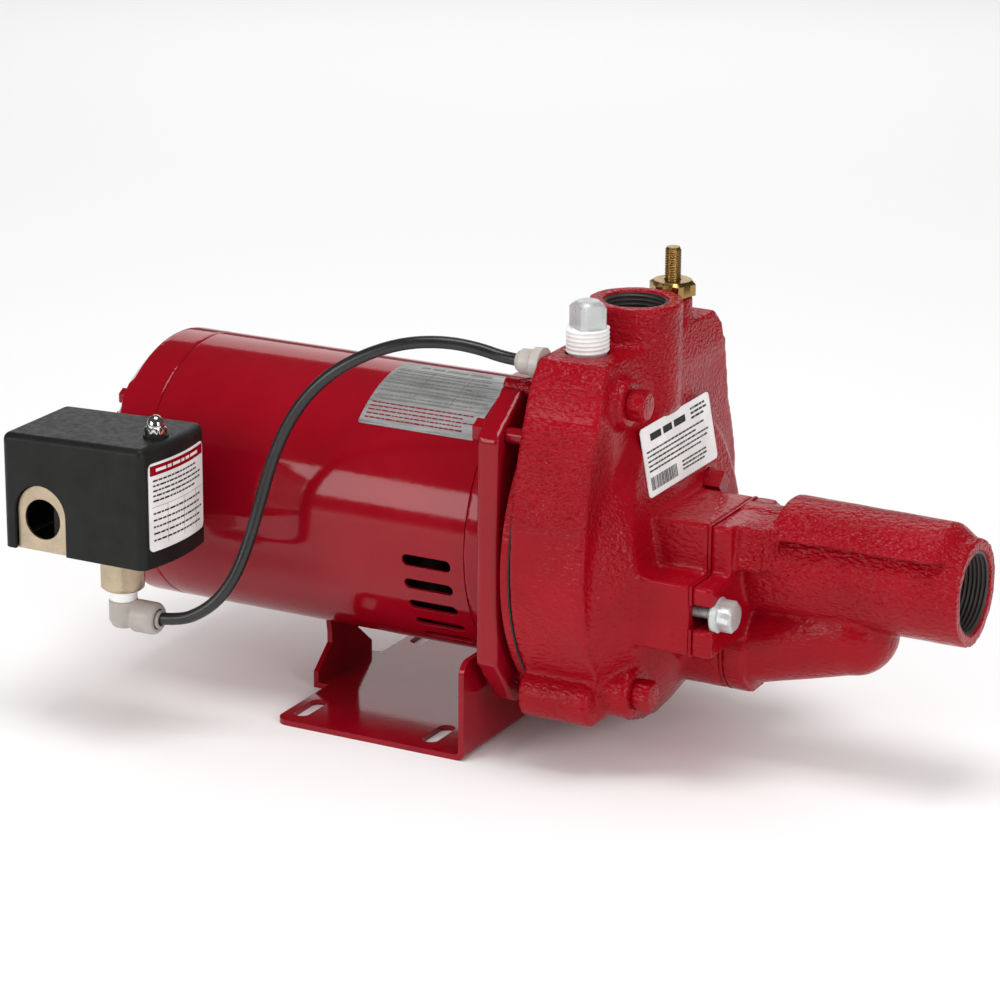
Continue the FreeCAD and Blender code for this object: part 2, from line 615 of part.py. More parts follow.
def start_switch():
    """Insulating board with the contact arm that the collar works."""
    board = ring("collar_radius + 8", "board_radius", ("board_rear", "0", AXIS_UP), "board_deep")
    lower_half = block(("board_rear - 1", "-70", "shaft_height - 70"),
                       ("board_rear + board_deep + 1", "70", "shaft_height + 8"))
    arm = block(("board_rear + board_deep", "-46", "shaft_height - 6"),
                ("board_rear + board_deep + 4", "-25", "shaft_height + 2"))
    contacts = [rod("4", ("board_rear + board_deep", "-40", "shaft_height + %d" % up), "5")
                for up in (-24, -14)]
    return piece("start_switch", join(common(board, lower_half), arm, *contacts))


def capacitor():
    can = rod("capacitor_radius", ("capacitor_rear", "0", above_shaft("capacitor_up")),
              "capacitor_long")
    tabs = [block(("capacitor_rear + capacitor_long", "%d - 3" % side, above_shaft("capacitor_up - 1")),
                  ("capacitor_rear + capacitor_long + 5", "%d + 3" % side,
                   above_shaft("capacitor_up + 1"))) for side in (-7, 7)]
    return piece("capacitor", join(can, *tabs))


def terminal_board():
    low = "shaft_height - terminals_tall / 2"
    plate = block(("terminals_rear", "terminals_near", low),
                  ("terminals_rear + terminals_deep", "terminals_near + terminals_wide",
                   low + " + terminals_tall"))
    tags = [block(("terminals_rear + terminals_deep", "terminals_near + 6", low + " + %d" % up),
                  ("terminals_rear + terminals_deep + 7", "terminals_near + 13", low + " + %d" % (up + 1)))
            for up in (6, 16, 26, 36)]
    posts = [rod("3", ("bell_rear + bell_wall", "terminals_near + 10", low + " + %d" % up),
                 "terminals_rear - bell_rear - bell_wall") for up in (10, 34)]
    return piece("terminal_board", join(plate, *tags, *posts))


def motor_nameplate():
    """Thin foil plate wrapped over the near upper quarter of the shell."""
    outer = "shell_radius + plate_thick"
    strip = turned([("plate_rear", "shell_radius"), ("plate_rear + plate_long", "shell_radius"),
                    ("plate_rear + plate_long", outer), ("plate_rear", outer)],
                   ("0", "0", "0"), "plate_sweep")
    return piece("motor_nameplate", swung(strip, "180 - plate_start - plate_sweep"))


# ---------------------------------------------------------------- seal and adapter

def seal_adapter():
    """Plate between the motor and the wet end; carries the still half of the shaft seal."""
    disc = turned([
        ("flange_front", "adapter_bore"), ("seat_rear", "adapter_bore"),
        ("seat_rear", "seat_outer"), ("adapter_front", "seat_outer"),
        ("adapter_front", "adapter_rim"), ("adapter_rim_rear", "adapter_rim"),
        ("adapter_rim_rear", "adapter_hub"), ("flange_front", "adapter_hub")])
    holes = [rod(radius, ("flange_front", y, z), "12") for radius, y, z in casing_bolt_spots()]
    piece("seal_adapter", cut(disc, *holes))
    gasket = ring("gasket_inner", "adapter_rim", ("adapter_front", "0", AXIS_UP), "gasket_thick")
    piece("casing_gasket", cut(gasket, *[rod(radius, ("flange_front", y, z), "12")
                                         for radius, y, z in casing_bolt_spots()]))


def shaft_seal():
    piece("shaft_slinger", ring("stub_radius", "slinger_radius", ("slinger_rear", "0", AXIS_UP),
                                "slinger_deep"))
    piece("seal_seat", ring("seat_inner", "seat_outer", ("seat_rear", "0", AXIS_UP),
                            "adapter_front - seat_rear"))
    piece("seal_head", ring("stub_radius", "seal_outer", ("adapter_front + 0.1", "0", AXIS_UP),
                            "seal_front - adapter_front - 0.1"))
    piece("seal_spring", ring("stub_radius + 1", "seal_outer - 1", ("seal_front", "0", AXIS_UP),
                              "impeller_rear - seal_front"))


# ---------------------------------------------------------------- impeller and diffuser

def impeller():
    """Closed impeller: two shrouds, six swept vanes, a threaded hub and the eye ring."""
    back = turned([
        ("impeller_rear", "stub_radius"), ("impeller_front - 3", "stub_radius"),
        ("impeller_front - 3", "impeller_hub - 3"), ("impeller_rear + shroud", "impeller_hub"),
        ("impeller_rear + shroud", "impeller_radius"), ("impeller_rear", "impeller_radius")])
    front = turned([
        ("impeller_front - 4", "impeller_radius"), ("impeller_front - 4 - shroud", "impeller_radius"),
        ("impeller_front - shroud", "eye_radius"), ("eye_front", "eye_radius"),
        ("eye_front", "eye_radius + eye_wall"), ("impeller_front", "eye_radius + eye_wall")])
    blade = block(("impeller_rear + 1", "vane_inner - 6", "-8 - vane_thick"),
                  ("impeller_front - 5", "impeller_radius - 3", "-8"))
    blades = [swung(blade, str(turn)) for turn in range(0, 360, 60)]
    return piece("impeller", join(back, front, *blades))


def diffuser():
    """Plastic cup round the impeller, with the tail that leads from the jet to its eye."""
    cup = turned([
        ("diffuser_rear", "diffuser_inner"), ("diffuser_front - diffuser_wall", "diffuser_inner"),
        ("diffuser_front - diffuser_wall", "tail_inner"), ("venturi_rear", "tail_inner"),
        ("venturi_rear", "tail_outer"), ("diffuser_front", "tail_outer"),
        ("diffuser_front", "diffuser_outer"), ("diffuser_front - diffuser_wall", "diffuser_outer"),
        ("diffuser_front - diffuser_wall", "diffuser_inner + 3"),
        ("diffuser_rear", "diffuser_inner + 3")])
    fins = [swung(block(("diffuser_rear", "diffuser_inner + 2", "-1.2"),
                        ("diffuser_front - 1", "diffuser_outer", "1.2")), str(turn))
            for turn in range(20, 380, 60)]
    piece("diffuser", join(cup, *fins))
    piece("diffuser_ring", ring("tail_outer", "throat_hole", ("ring_rear", "0", AXIS_UP), "ring_deep"))


# ---------------------------------------------------------------- cast casing

def jet_section(start, length):
    """The outline shared by the casing's jet face and the jet body's flange, as one bar."""
    end = "%s + %s" % (start, length)
    upper = new_body((start, "0", AXIS_UP))
    pad(upper, "YZ_Plane", [
        ("-pad_half", "ear_up - 2"), ("pad_half", "ear_up - 2"), ("pad_half", "pad_far_up"),
        ("pad_top_far", "pad_up"), ("-pad_half", "pad_up")], length)
    ears = block((start, "-ear_half", above_shaft("ear_low")),
                 (end, "ear_half", above_shaft("ear_up")))
    lower = rod("drive_radius", (start, "0", above_shaft("drive_up")), length)
    return join(upper, ears, lower)


def sloped_front():
    """Everything in front of the casing's leaning front face."""
    slab = document.addObject("Part::Box", "slab")
    bind(slab, {"Length": "80", "Width": "300", "Height": "400"})
    slab.Placement = Placement(Vector(), Rotation(Vector(0, 1, 0), 1))
    bind(slab, {"Placement.Rotation.Angle": "-slope_angle", "Placement.Base.x":
                "slope_reach + 200 * sin(slope_angle)", "Placement.Base.y": "-150",
                "Placement.Base.z": above_shaft("slope_at - 200 * cos(slope_angle)")})
    return slab


def casing_outline():
    body = new_body(("casing_rear", "0", AXIS_UP))
    pad(body, "YZ_Plane", [
        ("0", "-volute_radius", "volute_radius"), ("casing_half", "casing_belly", "far_curve"),
        ("casing_far_waist", "casing_far_waist_up"), ("casing_far_half", "casing_far_up"),
        ("casing_far_top", "casing_top"),
        ("-casing_top_half", "casing_top"),
        ("-casing_side_half", "casing_side_top", "side_curve"),
        ("-casing_half", "casing_belly", "volute_radius")], "casing_front - casing_rear")
    return body


def casing_lugs():
    """The two low corner lugs, with a round bolt boss on each."""
    lugs = []
    for side in (-1, 1):
        body = new_body(("casing_rear", "0", AXIS_UP))
        outer, inner = "%d * lug_half" % side, "%d * lug_inner" % side
        near, far = (outer, inner) if side < 0 else (inner, outer)
        lug = pad(body, "YZ_Plane", [(near, "lug_low"), (far, "lug_low"), (far, "lug_up"),
                                     (near, "lug_up")], "lug_front - casing_rear")
        middle = size("(lug_front - casing_rear) / 2")
        corners = [Vector(middle, side * size("lug_half"), size(up))
                   for up in ("lug_low", "lug_up")]
        rounded(body, lug, corners, "lug_round")
        lugs.append(body)
        lugs.append(rod("boss_radius", ("casing_rear + 4", "%d * lower_bolt_half" % side,
                                        above_shaft("lower_bolt_up")),
                        "lower_seat - casing_rear - 4"))
    return lugs


def pump_casing():
    """Cast wet end: tall tapered shield, round belly, outlet neck and the jet face."""
    upper_hub = cone("hub_rear_radius", "hub_front_radius", ("hub_rear", "0", above_shaft("-8")),
                     "hub_front - hub_rear")
    shield = cut(join(casing_outline(), upper_hub), sloped_front())
    neck = rod("outlet_radius", ("outlet_x", "0", "outlet_root"), "outlet_top - outlet_root", "z")
    valve_boss = rod("valve_boss", ("valve_x", "valve_y", "shaft_height + 90"),
                     "valve_boss_top - shaft_height - 90", "z")
    gauge_boss = rod("gauge_radius + 2", ("hub_rear", "gauge_y", above_shaft("gauge_up")),
                     "gauge_seat - hub_rear")
    joint_boss = rod("joint_radius + 2", ("casing_rear", "joint_y + 3", "joint_up - 4"), "12")
    solid = join(shield, neck, valve_boss, gauge_boss, joint_boss, *casing_lugs(),
                 jet_section("hub_rear", "jet_face - hub_rear"))

    cavity = rod("cavity_radius", ("casing_rear - 1", "0", AXIS_UP),
                 "cavity_front - casing_rear + 1")
    chamber = block(("chamber_rear", "-chamber_half", above_shaft("40")),
                    ("chamber_front", "chamber_half", above_shaft("chamber_top")))
    throat = rod("throat_hole", ("casing_rear", "0", AXIS_UP), "jet_face - casing_rear + 1")
    drive = rod("drive_hole", ("cavity_front - 1", "0", above_shaft("drive_up")),
                "jet_face - cavity_front + 2")
    outlet = join(rod("outlet_hole - thread_step", ("outlet_x", "0", above_shaft("chamber_top - 1")),
                      "outlet_top - shaft_height - chamber_top + 1", "z"),
                  rod("outlet_hole", ("outlet_x", "0", "outlet_top - outlet_thread"),
                      "outlet_thread + 1", "z"))
    recess = rod("recess_radius", ("upper_seat", "-upper_bolt_half", above_shaft("upper_bolt_up")),
                 "30")
    seat = rod("recess_radius", ("upper_seat - 10", "-upper_bolt_half",
                                 above_shaft("upper_bolt_up")), "10")
    bolt_holes = [rod(radius, ("casing_rear - 1", y, z), "70")
                  for radius, y, z in casing_bolt_spots()]
    screw_holes = [rod(radius, ("casing_rear - 1", y, z), "11")
                   for radius, y, z in flange_screw_spots()]
    jet_holes = [rod("jet_bolt_radius", ("jet_face - 22", "%d * jet_bolt_half" % side,
                                         above_shaft("jet_bolt_up")), "40") for side in (-1, 1)]
    prime = rod("prime_radius + running_gap", ("prime_x", "prime_y", "prime_low - 4"), "30", "z")
    valve = join(rod("bonnet_neck", ("valve_x", "valve_y", "bonnet_low"), "30", "z"),
                 rod("valve_well", ("valve_x", "valve_y", "stem_low - 8"),
                     "bonnet_low - stem_low + 8", "z"))
    gauge = rod("gauge_radius", ("gauge_rear", "gauge_y", above_shaft("gauge_up")), "40")
    drain = rod("gauge_radius", ("cavity_front - 1", "drain_y", above_shaft("drain_up")), "60")
    drain_seat = rod("gauge_radius + 6", ("drain_seat", "drain_y", above_shaft("drain_up")), "40")
    tube_hole = rod("joint_thread", ("casing_rear - 1", "joint_y + 3", "joint_up - 4"),
                    "joint_front - casing_rear + 1")
    return piece("pump_casing", cut(
        join(solid, seat), cavity, chamber, throat, drive, outlet, prime, valve, gauge, drain,
        drain_seat, tube_hole, recess, *bolt_holes, *screw_holes, *jet_holes))


def casing_bolts():
    bolts = []
    for radius, y, z in casing_bolt_spots():
        seat = "upper_seat" if "upper" in y else "lower_seat"
        head = nut("bolt_flats", (seat, y, z), "bolt_head", spin=15)
        bolts.append(join(head, rod(radius, ("flange_rear", y, z), "%s - flange_rear" % seat)))
    return piece("casing_bolts", group(*bolts))


def pump_label():
    """Foil label on the leaning front face."""
    lean = Rotation(Vector(0, 1, 0), -size("slope_angle"))
    plate = document.addObject("Part::Box", "label")
    bind(plate, {"Length": "label_thick", "Width": "label_wide", "Height": "label_tall"})
    plate.Placement = Placement(Vector(), lean)
    drop = "label_tall / 2"
    bind(plate, {
        "Placement.Base.x": "slope_reach + (slope_at - label_up) * tan(slope_angle)"
                            " + %s * sin(slope_angle)" % drop,
        "Placement.Base.y": "label_y - label_wide / 2",
        "Placement.Base.z": above_shaft("label_up - %s * cos(slope_angle)" % drop)})
    return piece("pump_label", plate)


# ---------------------------------------------------------------- jet body

def jet_flange_bar(start, length):
    """The jet flange outline with its two open bolt slots."""
    slots = []
    for side in (-1, 1):
        near, far = sorted((side * size("jet_slot_start"), side * (size("ear_half") + 1)))
        up, half = above_shaft("jet_bolt_up"), "jet_slot"
        slots.append(block((start + " - 1", str(near), "%s - %s" % (up, half)),
                           ("%s + %s + 1" % (start, length), str(far), "%s + %s" % (up, half))))
    return cut(jet_section(start, length), *slots)


def jet_gasket():
    bar = jet_flange_bar("jet_face", "jet_gasket")
    throat = rod("throat_hole", ("jet_face - 1", "0", AXIS_UP), "5")
    drive = rod("drive_hole", ("jet_face - 1", "0", above_shaft("drive_up")), "5")
    return piece("jet_gasket", cut(bar, throat, drive))


def jet_body():
    """Suction barrel with the drive-water bend under it and the flange behind."""
    start = "jet_face + jet_gasket"
    flange = jet_flange_bar(start, "jet_flange")
    barrel = rod("barrel_radius", (start, "0", AXIS_UP), "port_face - jet_face - jet_gasket")
    crown = common(
        join(cone("crown_rear_radius", "crown_front_radius", ("crown_rear", "0", AXIS_UP),
                  "crown_front - crown_rear"),
             cone("crown_front_radius", "barrel_radius", ("crown_front", "0", AXIS_UP),
                  "crown_end - crown_front")),
        block(("crown_rear - 1", "-40", above_shaft("crown_low")),
              ("crown_end + 1", "40", above_shaft("40"))))
    bend_up = above_shaft("bend_up")
    pipe = tilted_pipe("bend_radius - ball_step", "bend_x - jet_face - jet_gasket + 3")
    trimmed = common(pipe, block((start, "-60", "0"), ("port_face", "60", "200")))
    elbow = ball("bend_radius", ("bend_x", "0", bend_up))
    solid = join(flange, barrel, crown, gauge_pad(start), trimmed, elbow)

    throat = rod("throat_hole", ("jet_face", "0", AXIS_UP), "venturi_rear + 34 - jet_face")
    bore = join(rod("port_hole - thread_step", ("jet_face", "0", AXIS_UP), "port_face - jet_face"),
                rod("port_hole", ("port_face - port_thread", "0", AXIS_UP), "port_thread + 1"))
    holder = join(rod("holder_radius", ("holder_rear", "0", AXIS_UP), "holder_front - holder_rear"),
                  rod("holder_radius", ("bend_x", "0", bend_up), "-bend_up", "z"))
    drive = join(tilted_pipe("drive_hole", "bend_x - jet_face - jet_gasket + 3"),
                 rod("drive_hole", ("jet_face", "0", above_shaft("drive_up")), "14"),
                 ball("drive_hole + ball_step", ("bend_x", "0", bend_up)),
                 rod("nozzle_socket", ("bend_x", "0", bend_up), "-bend_up", "z"),
                 rod("nozzle_socket", ("holder_rear - 1", "0", AXIS_UP), "bend_x - holder_rear + 1"),
                 ball("nozzle_socket + ball_step", ("bend_x", "0", AXIS_UP)))
    shell = cut(solid, cut(bore, holder), throat)
    return piece("jet_body", cut(shell, drive))


def gauge_pad(start):
    """Raised pad on the near side behind the crown, with a sloped end towards the port."""
    raised = new_body((start, "0", AXIS_UP))
    pad(raised, "YZ_Plane", [("0", "knob_low"), ("0", "knob_up"), ("-knob_top_half", "knob_up"),
                             ("-knob_low_half", "knob_low")], "knob_front - (%s)" % start)
    sloped = new_body(("0", "0", AXIS_UP))
    pad(sloped, "XY_Plane", [("knob_front", "-knob_top_half"), ("knob_nose", "-barrel_radius"),
                             ("knob_nose", "0"), ("knob_front", "0")], "knob_up - knob_low",
        "knob_low")
    return join(raised, sloped)


def tilted_pipe(radius, length):
    """A bar that climbs from the drive opening to the bend."""
    thing = document.addObject("Part::Cylinder", "pipe")
    bind(thing, {"Radius": radius, "Height": "(%s) / cos(bend_tilt) + 6" % length})
    thing.Placement = Placement(Vector(), Rotation(Vector(0, 1, 0), 89))
    bind(thing, {"Placement.Rotation.Angle": "90 - bend_tilt",
                 "Placement.Base.x": "bend_x - (%s + 6) " % length,
                 "Placement.Base.z": above_shaft("bend_up - (%s + 6) * tan(bend_tilt)" % length)})
    return thing


def jet_bolts():
    """Two flange-head bolts in the open slots."""
    seat = "jet_face + jet_gasket + jet_flange"
    bolts = []
    for side in (-1, 1):
        y, z = "%d * jet_bolt_half" % side, above_shaft("jet_bolt_up")
        washer = cone("jet_bolt_flats * 0.7", "jet_bolt_flats / 2", (seat, y, z), "2.4")
        head = nut("jet_bolt_flats", (seat, y, z), "8.5", spin=10)
        shank = rod("jet_bolt_radius", ("jet_face - 22", y, z), seat + " - jet_face + 22")
        bolts.append(join(washer, head, shank))
    return piece("jet_bolts", group(*bolts))


def nozzle():
    """Brass nozzle that throws the drive water back towards the impeller."""
    seat = "holder_rear"
    return piece("nozzle", turned([
        ("nozzle_tip", "nozzle_hole"), (seat + " + 8", "nozzle_socket - 2"),
        (seat + " + 8", "nozzle_socket"), (seat, "nozzle_socket"),
        (seat, "nozzle_socket + 2.5"), (seat + " - 4", "nozzle_socket + 2.5"),
        (seat + " - 4", "nozzle_socket - 0.5"), ("nozzle_tip", "nozzle_hole + 1.4")]))


def venturi():
    """Moulded tube that slows the jet; its collar sits between the diffuser and the throat."""
    collar_end = "venturi_rear + 6"
    return piece("venturi", turned([
        ("venturi_rear", "venturi_mouth"), ("venturi_front - 24", "venturi_throat"),
        ("venturi_front - 14", "venturi_throat"), ("venturi_front", "venturi_mouth - 2"),
        ("venturi_front", "venturi_mouth"), ("venturi_front - 14", "venturi_throat + 4"),
        (collar_end, "venturi_radius + 1"), (collar_end, "throat_hole"),
        ("venturi_rear", "throat_hole")]))


# ---------------------------------------------------------------- plugs and regulator

def priming_plug():
    """Square-head pipe plug in the top of the casing, its thread wrapped in tape."""
    thread = upright([("0", "prime_low"), ("prime_radius - 0.6", "prime_low"),
                      ("prime_radius", "prime_low + 3"), ("prime_radius", "prime_neck"),
                      ("0", "prime_neck")], ("prime_x", "prime_y", "0"))
    square = nut("prime_flats", ("prime_x", "prime_y", "prime_neck"), "prime_top - prime_neck",
                 "z", 4, 25)
    dome = ball("prime_flats * 0.95", ("prime_x", "prime_y", "prime_top - prime_flats * 0.95"))
    piece("priming_plug", join(thread, common(square, dome)))
    piece("plug_tape", ring("prime_radius", "prime_radius + tape_thick",
                            ("prime_x", "prime_y", "tape_low"), "prime_neck - tape_low", "z"))


def front_plugs():
    """Two equal square-head plugs: one in the gauge port and one in the drain."""
    plugs = []
    for name in ("gauge", "drain"):
        y, z, seat = name + "_y", above_shaft(name + "_up"), name + "_seat"
        thread = rod("gauge_radius", (name + "_rear", y, z), "%s - %s_rear" % (seat, name))
        head = nut("gauge_flats", (seat, y, z), "%s_front - %s" % (name, seat), sides=4)
        plugs.append(join(thread, head))
    return piece("front_plugs", group(*plugs))


def regulator():
    """Brass valve that sets the back pressure: bonnet, screw stem and the disc it carries."""
    at = ("valve_x", "valve_y")
    bore = rod("stem_radius + running_gap", at + ("bonnet_low - 1",), "40", "z")
    neck = rod("bonnet_neck", at + ("bonnet_low",), "valve_boss_top - bonnet_low", "z")
    head = nut("bonnet_flats", at + ("valve_boss_top",), "bonnet_top - valve_boss_top", "z",
               spin=8)
    piece("regulator_bonnet", cut(join(neck, head), bore))
    piece("regulator_stem", upright([
        ("0", "stem_low"), ("stem_radius - 1", "stem_low"), ("stem_radius", "stem_low + 1"),
        ("stem_radius", "stem_top - 0.8"), ("stem_radius - 0.8", "stem_top"),
        ("0", "stem_top")], at + ("0",)))
    piece("regulator_disc", rod("disc_radius", at + ("stem_low - disc_thick",), "disc_thick", "z"))


# ---------------------------------------------------------------- pressure switch

def switch_base():
    """Folded steel frame: floor with a hole for the plunger, and a conduit ear each side."""
    floor_top = "switch_low + frame_sheet"
    inside = "(cover_wall + free_gap)"
    edge = "(cover_wall + 2 * free_gap)"
    floor = block(("switch_rear + " + edge, "switch_near + " + edge, "switch_low"),
                  ("switch_front - " + edge, "switch_far - " + edge, floor_top))
    ears, holes = [], []
    for x, near in (("arch_x", "switch_near + " + inside),
                    ("nipple_x", "switch_far - %s - frame_sheet" % inside)):
        ears.append(rod("arch_radius - 0.6", (x, near, "arch_up"), "frame_sheet", "y"))
        ears.append(block((x + " - arch_radius + 0.6", near, "switch_low"),
                          (x + " + arch_radius - 0.6", near + " + frame_sheet", "arch_up")))
    holes.append(rod("knockout_radius", ("arch_x", "switch_near - 1", "knockout_up"), "9", "y"))
    holes.append(rod("nipple_radius", ("nipple_x", "switch_far - 8", "arch_up"), "9", "y"))
    holes.append(rod("plunger_radius + free_gap", ("port_x", "port_y", "switch_low - 1"), "5", "z"))
    return piece("switch_base", cut(join(floor, *ears), *holes))


def cover_block(inset, low, rear_up, front_up):
    """The cover's outline drawn in by an inset, from a height up to its sloping top."""
    rear, front = "switch_rear + " + inset, "switch_front - " + inset
    near, far = "switch_near + " + inset, "switch_far - " + inset
    body = new_body()
    tall = pad(body, "XY_Plane", [(rear, near), (front, near, "cover_bulge - " + inset),
                                  (front, far), (rear, far)], "switch_top - (%s)" % low, low)
    corners = [Vector(size(x), size(y), size("(switch_top + %s) / 2" % low))
               for x in (rear, front) for y in (near, far)]
    rounded(body, tall, corners, "cover_corner - " + inset)
    slope = body.newObject("PartDesign::Pocket", "slope")
    slope.Profile = sketch_on(body, "XZ_Plane", [
        (rear + " - 1", rear_up), ("switch_front + 20", front_up),
        ("switch_front + 20", "switch_top + 5"), (rear + " - 1", "switch_top + 5")],
        "-switch_near + 5")
    bind(slope, {"Length": "switch_far - switch_near + 10"})
    body.Tip = slope
    return body


def switch_cover():
    """Moulded cover with a sloping top, open below, and an arch over each conduit ear."""
    outer = cover_block("0", "switch_low", "cover_rear_up", "cover_front_up")
    document.recompute()
    top = max(outer.Shape.Faces, key=lambda face: face.CenterOfMass.z)
    rounded(outer, outer.Tip, [edge.CenterOfMass for edge in top.Edges], "cover_rim")
    hollow = cover_block("cover_wall", "switch_low - 1", "cover_rear_up - cover_wall",
                         "cover_front_up - cover_wall")
    at = ("stud_x", "stud_y")
    seat = rod("seat_radius", at + ("cover_front_up - 1.5",), "switch_top - cover_front_up + 1.5",
               "z")
    arches = []
    for x, near in (("arch_x", "switch_near - 1"), ("nipple_x", "switch_far - cover_wall - 1")):
        arches.append(rod("arch_radius", (x, near, "arch_up"), "cover_wall + 2", "y"))
        arches.append(block((x + " - arch_radius", near, "switch_low - 1"),
                            (x + " + arch_radius", near + " + cover_wall + 2", "arch_up")))
    stud_hole = rod("stud_radius + free_gap", at + ("switch_top - 6",), "9", "z")
    return piece("switch_cover", cut(join(cut(outer, hollow), seat), stud_hole, *arches))


def cover_fixings():
    """Long stud from the frame, and the acorn nut that holds the cover down."""
    at = ("stud_x", "stud_y")
    floor_top = "switch_low + frame_sheet"
    piece("cover_stud", rod("stud_radius", at + (floor_top,), "stud_top - switch_low - frame_sheet",
                            "z"))
    base = nut("acorn_flats", at + ("switch_top",), "acorn_hex", "z")
    dome = upright([("0", "switch_top + acorn_hex"), ("acorn_dome", "switch_top + acorn_hex"),
                    ("acorn_dome", "acorn_top - 4"), ("acorn_dome - 2.6", "acorn_top - 0.6"),
                    ("0", "acorn_top")], at + ("0",))
    hole = rod("stud_radius + running_gap", at + ("switch_top - 1",),
               "stud_top - switch_top + 1 + free_gap", "z")
    piece("acorn_nut", cut(join(base, dome), hole))


def switch_label():
    """Label bent round the cover's bowed front."""
    tops = ("cover_rear_up", "cover_front_up")
    skin = cut(cover_block("-sticker_thick", "switch_low", *tops),
               cover_block("0", "switch_low - 1", *tops))
    window = block(("switch_front - 6", "sticker_near", "sticker_low"),
                   ("switch_front + 9", "sticker_far", "sticker_top"))
    return piece("switch_label", common(skin, window))


def pressure_port():
    """Hex port and dished housing under the frame, with the membrane and its plunger."""
    at = ("port_x", "port_y")
    hexagon = nut("hex_flats", at + ("hex_low",), "hex_top - hex_low", "z", spin=30)
    dish = rod("dish_radius", at + ("hex_top",), "dish_top - hex_top", "z")
    well = rod("dish_hole", at + ("dish_floor",), "dish_top - dish_floor + 1", "z")
    bore = rod("thread_radius - 0.8", at + ("hex_low - 1",), "dish_floor - hex_low + 2", "z")
    piece("port_housing", cut(join(hexagon, dish), well, bore))
    piece("membrane", rod("dish_radius - 1", at + ("dish_top",), "membrane", "z"))
    foot, shoulder = "dish_top + membrane + 0.1", "plunger_top - plunger_nose"
    piece("plunger", upright([
        ("0", foot), ("plunger_radius", foot), ("plunger_radius", shoulder),
        ("plunger_tip", "plunger_top"), ("0", "plunger_top")], at + ("0",)))


def contact_gear():
    """Rocking contact lever on its pivot, between the plunger and the two springs."""
    pivot_z = "lever_low + lever_thick / 2"
    plate = block(("lever_rear", "port_y - lever_half", "lever_low"),
                  ("lever_front", "port_y + lever_half", "lever_low + lever_thick"))
    barrel = rod("pivot_radius + 1.2", ("pivot_x", "port_y - lever_half", pivot_z),
                 "2 * lever_half", "y")
    bore = rod("pivot_radius + running_gap", ("pivot_x", "port_y - lever_half - 1", pivot_z),
               "2 * lever_half + 2", "y")
    pads = [rod("2.4", ("lever_front - 5", "port_y + %d * contact_half" % side,
                        "lever_low + lever_thick"), "contact_gap", "z") for side in (-1, 1)]
    piece("contact_lever", cut(join(plate, barrel, *pads), bore))
    posts = [block(("pivot_x - 3", "port_y + %d * (pivot_half - 1) - 1" % side,
                    "switch_low + frame_sheet"),
                   ("pivot_x + 3", "port_y + %d * (pivot_half - 1) + 1" % side, pivot_z + " + 4"))
             for side in (-1, 1)]
    pin = rod("pivot_radius", ("pivot_x", "port_y - pivot_half", pivot_z), "2 * pivot_half", "y")
    piece("pivot_bracket", join(pin, *posts))


def switch_springs():
    """The range and differential springs on their posts, each set by a nut."""
    floor_top = "switch_low + frame_sheet"
    posts, coils, nuts = [], [], []
    for name in ("range", "diff"):
        at, radius, top = ("post_x", name + "_y"), name + "_radius", name + "_top"
        stud = rod("post_radius", at + (floor_top,), top + " + 10 - switch_low - frame_sheet", "z")
        foot = rod("post_radius + 2.6", at + (floor_top,), "3", "z")
        posts.append(join(stud, foot))
        coil_low = floor_top + " + 3"
        coils.append(ring("post_radius + 0.8", radius, at + (coil_low,),
                          "%s - (%s)" % (top, coil_low), "z"))
        hexagon = nut("2 * post_radius + 5.2", at + (top,), "4", "z")
        nuts.append(cut(hexagon, rod("post_radius", at + (top + " - 1",), "6", "z")))
    piece("spring_posts", group(*posts))
    piece("switch_springs", group(*coils))
    piece("spring_nuts", group(*nuts))


def terminal_block():
    """Moulded block with four terminal screws."""
    body = block(("block_rear", "block_near", "switch_low + frame_sheet"),
                 ("block_front", "block_far", "block_top"))
    screws = [rod("screw_radius", ("block_rear + 4.5", "block_near + %.1f" % (5.6 + 10.8 * step),
                                   "block_top"), "screw_head", "z") for step in range(4)]
    return piece("terminal_block", group(body, *screws))


def conduit_nipple():
    """Hollow threaded nipple that carries the switch and its wires to the rear bell."""
    at = ("nipple_x", "nipple_near", "arch_up")
    tube = ring("nipple_radius - nipple_wall", "nipple_radius", at, "nipple_far - nipple_near", "y")
    inside = "switch_far - cover_wall - free_gap"
    lock = nut("2 * nut_radius", ("nipple_x", inside + " - frame_sheet - nut_deep", "arch_up"),
               "nut_deep", "y", spin=30)
    hole = rod("nipple_radius", at, "nipple_far - nipple_near", "y")
    spacer = ring("nipple_radius", "bell_boss - 0.6", ("nipple_x", inside, "arch_up"),
                  "switch_far - (%s)" % inside, "y")
    piece("conduit_nipple", join(tube, spacer))
    return piece("conduit_locknut", cut(lock, hole))


# ---------------------------------------------------------------- pressure tube

def tube_elbow():
    """Push-fit elbow under the switch: threaded leg up, cup towards the pump."""
    at = ("port_x", "port_y")
    leg = rod("elbow_radius", at + ("elbow_low + elbow_radius",),
              "elbow_top - elbow_low - elbow_radius", "z")
    corner = ball("elbow_radius", at + ("elbow_low + elbow_radius",))
    neck = rod("elbow_radius", at + ("elbow_low + elbow_radius",), "cup_rear - port_x")
    cup = rod("cup_radius", ("cup_rear", "port_y", "tube_low"), "cup_front - cup_rear")
    thread = rod("thread_radius - 0.8", at + ("elbow_top - 1",), "hex_low + 10 - elbow_top", "z")
    shoulder = rod("thread_radius - 0.3", at + ("elbow_top",), "hex_low - elbow_top", "z")
    socket = rod("tube_radius", ("cup_rear + 2", "port_y", "tube_low"), "cup_front - cup_rear")
    bore = rod("elbow_bore", at + ("tube_low",), "40", "z")
    return piece("tube_elbow", cut(join(leg, corner, neck, cup, thread, shoulder), socket, bore))


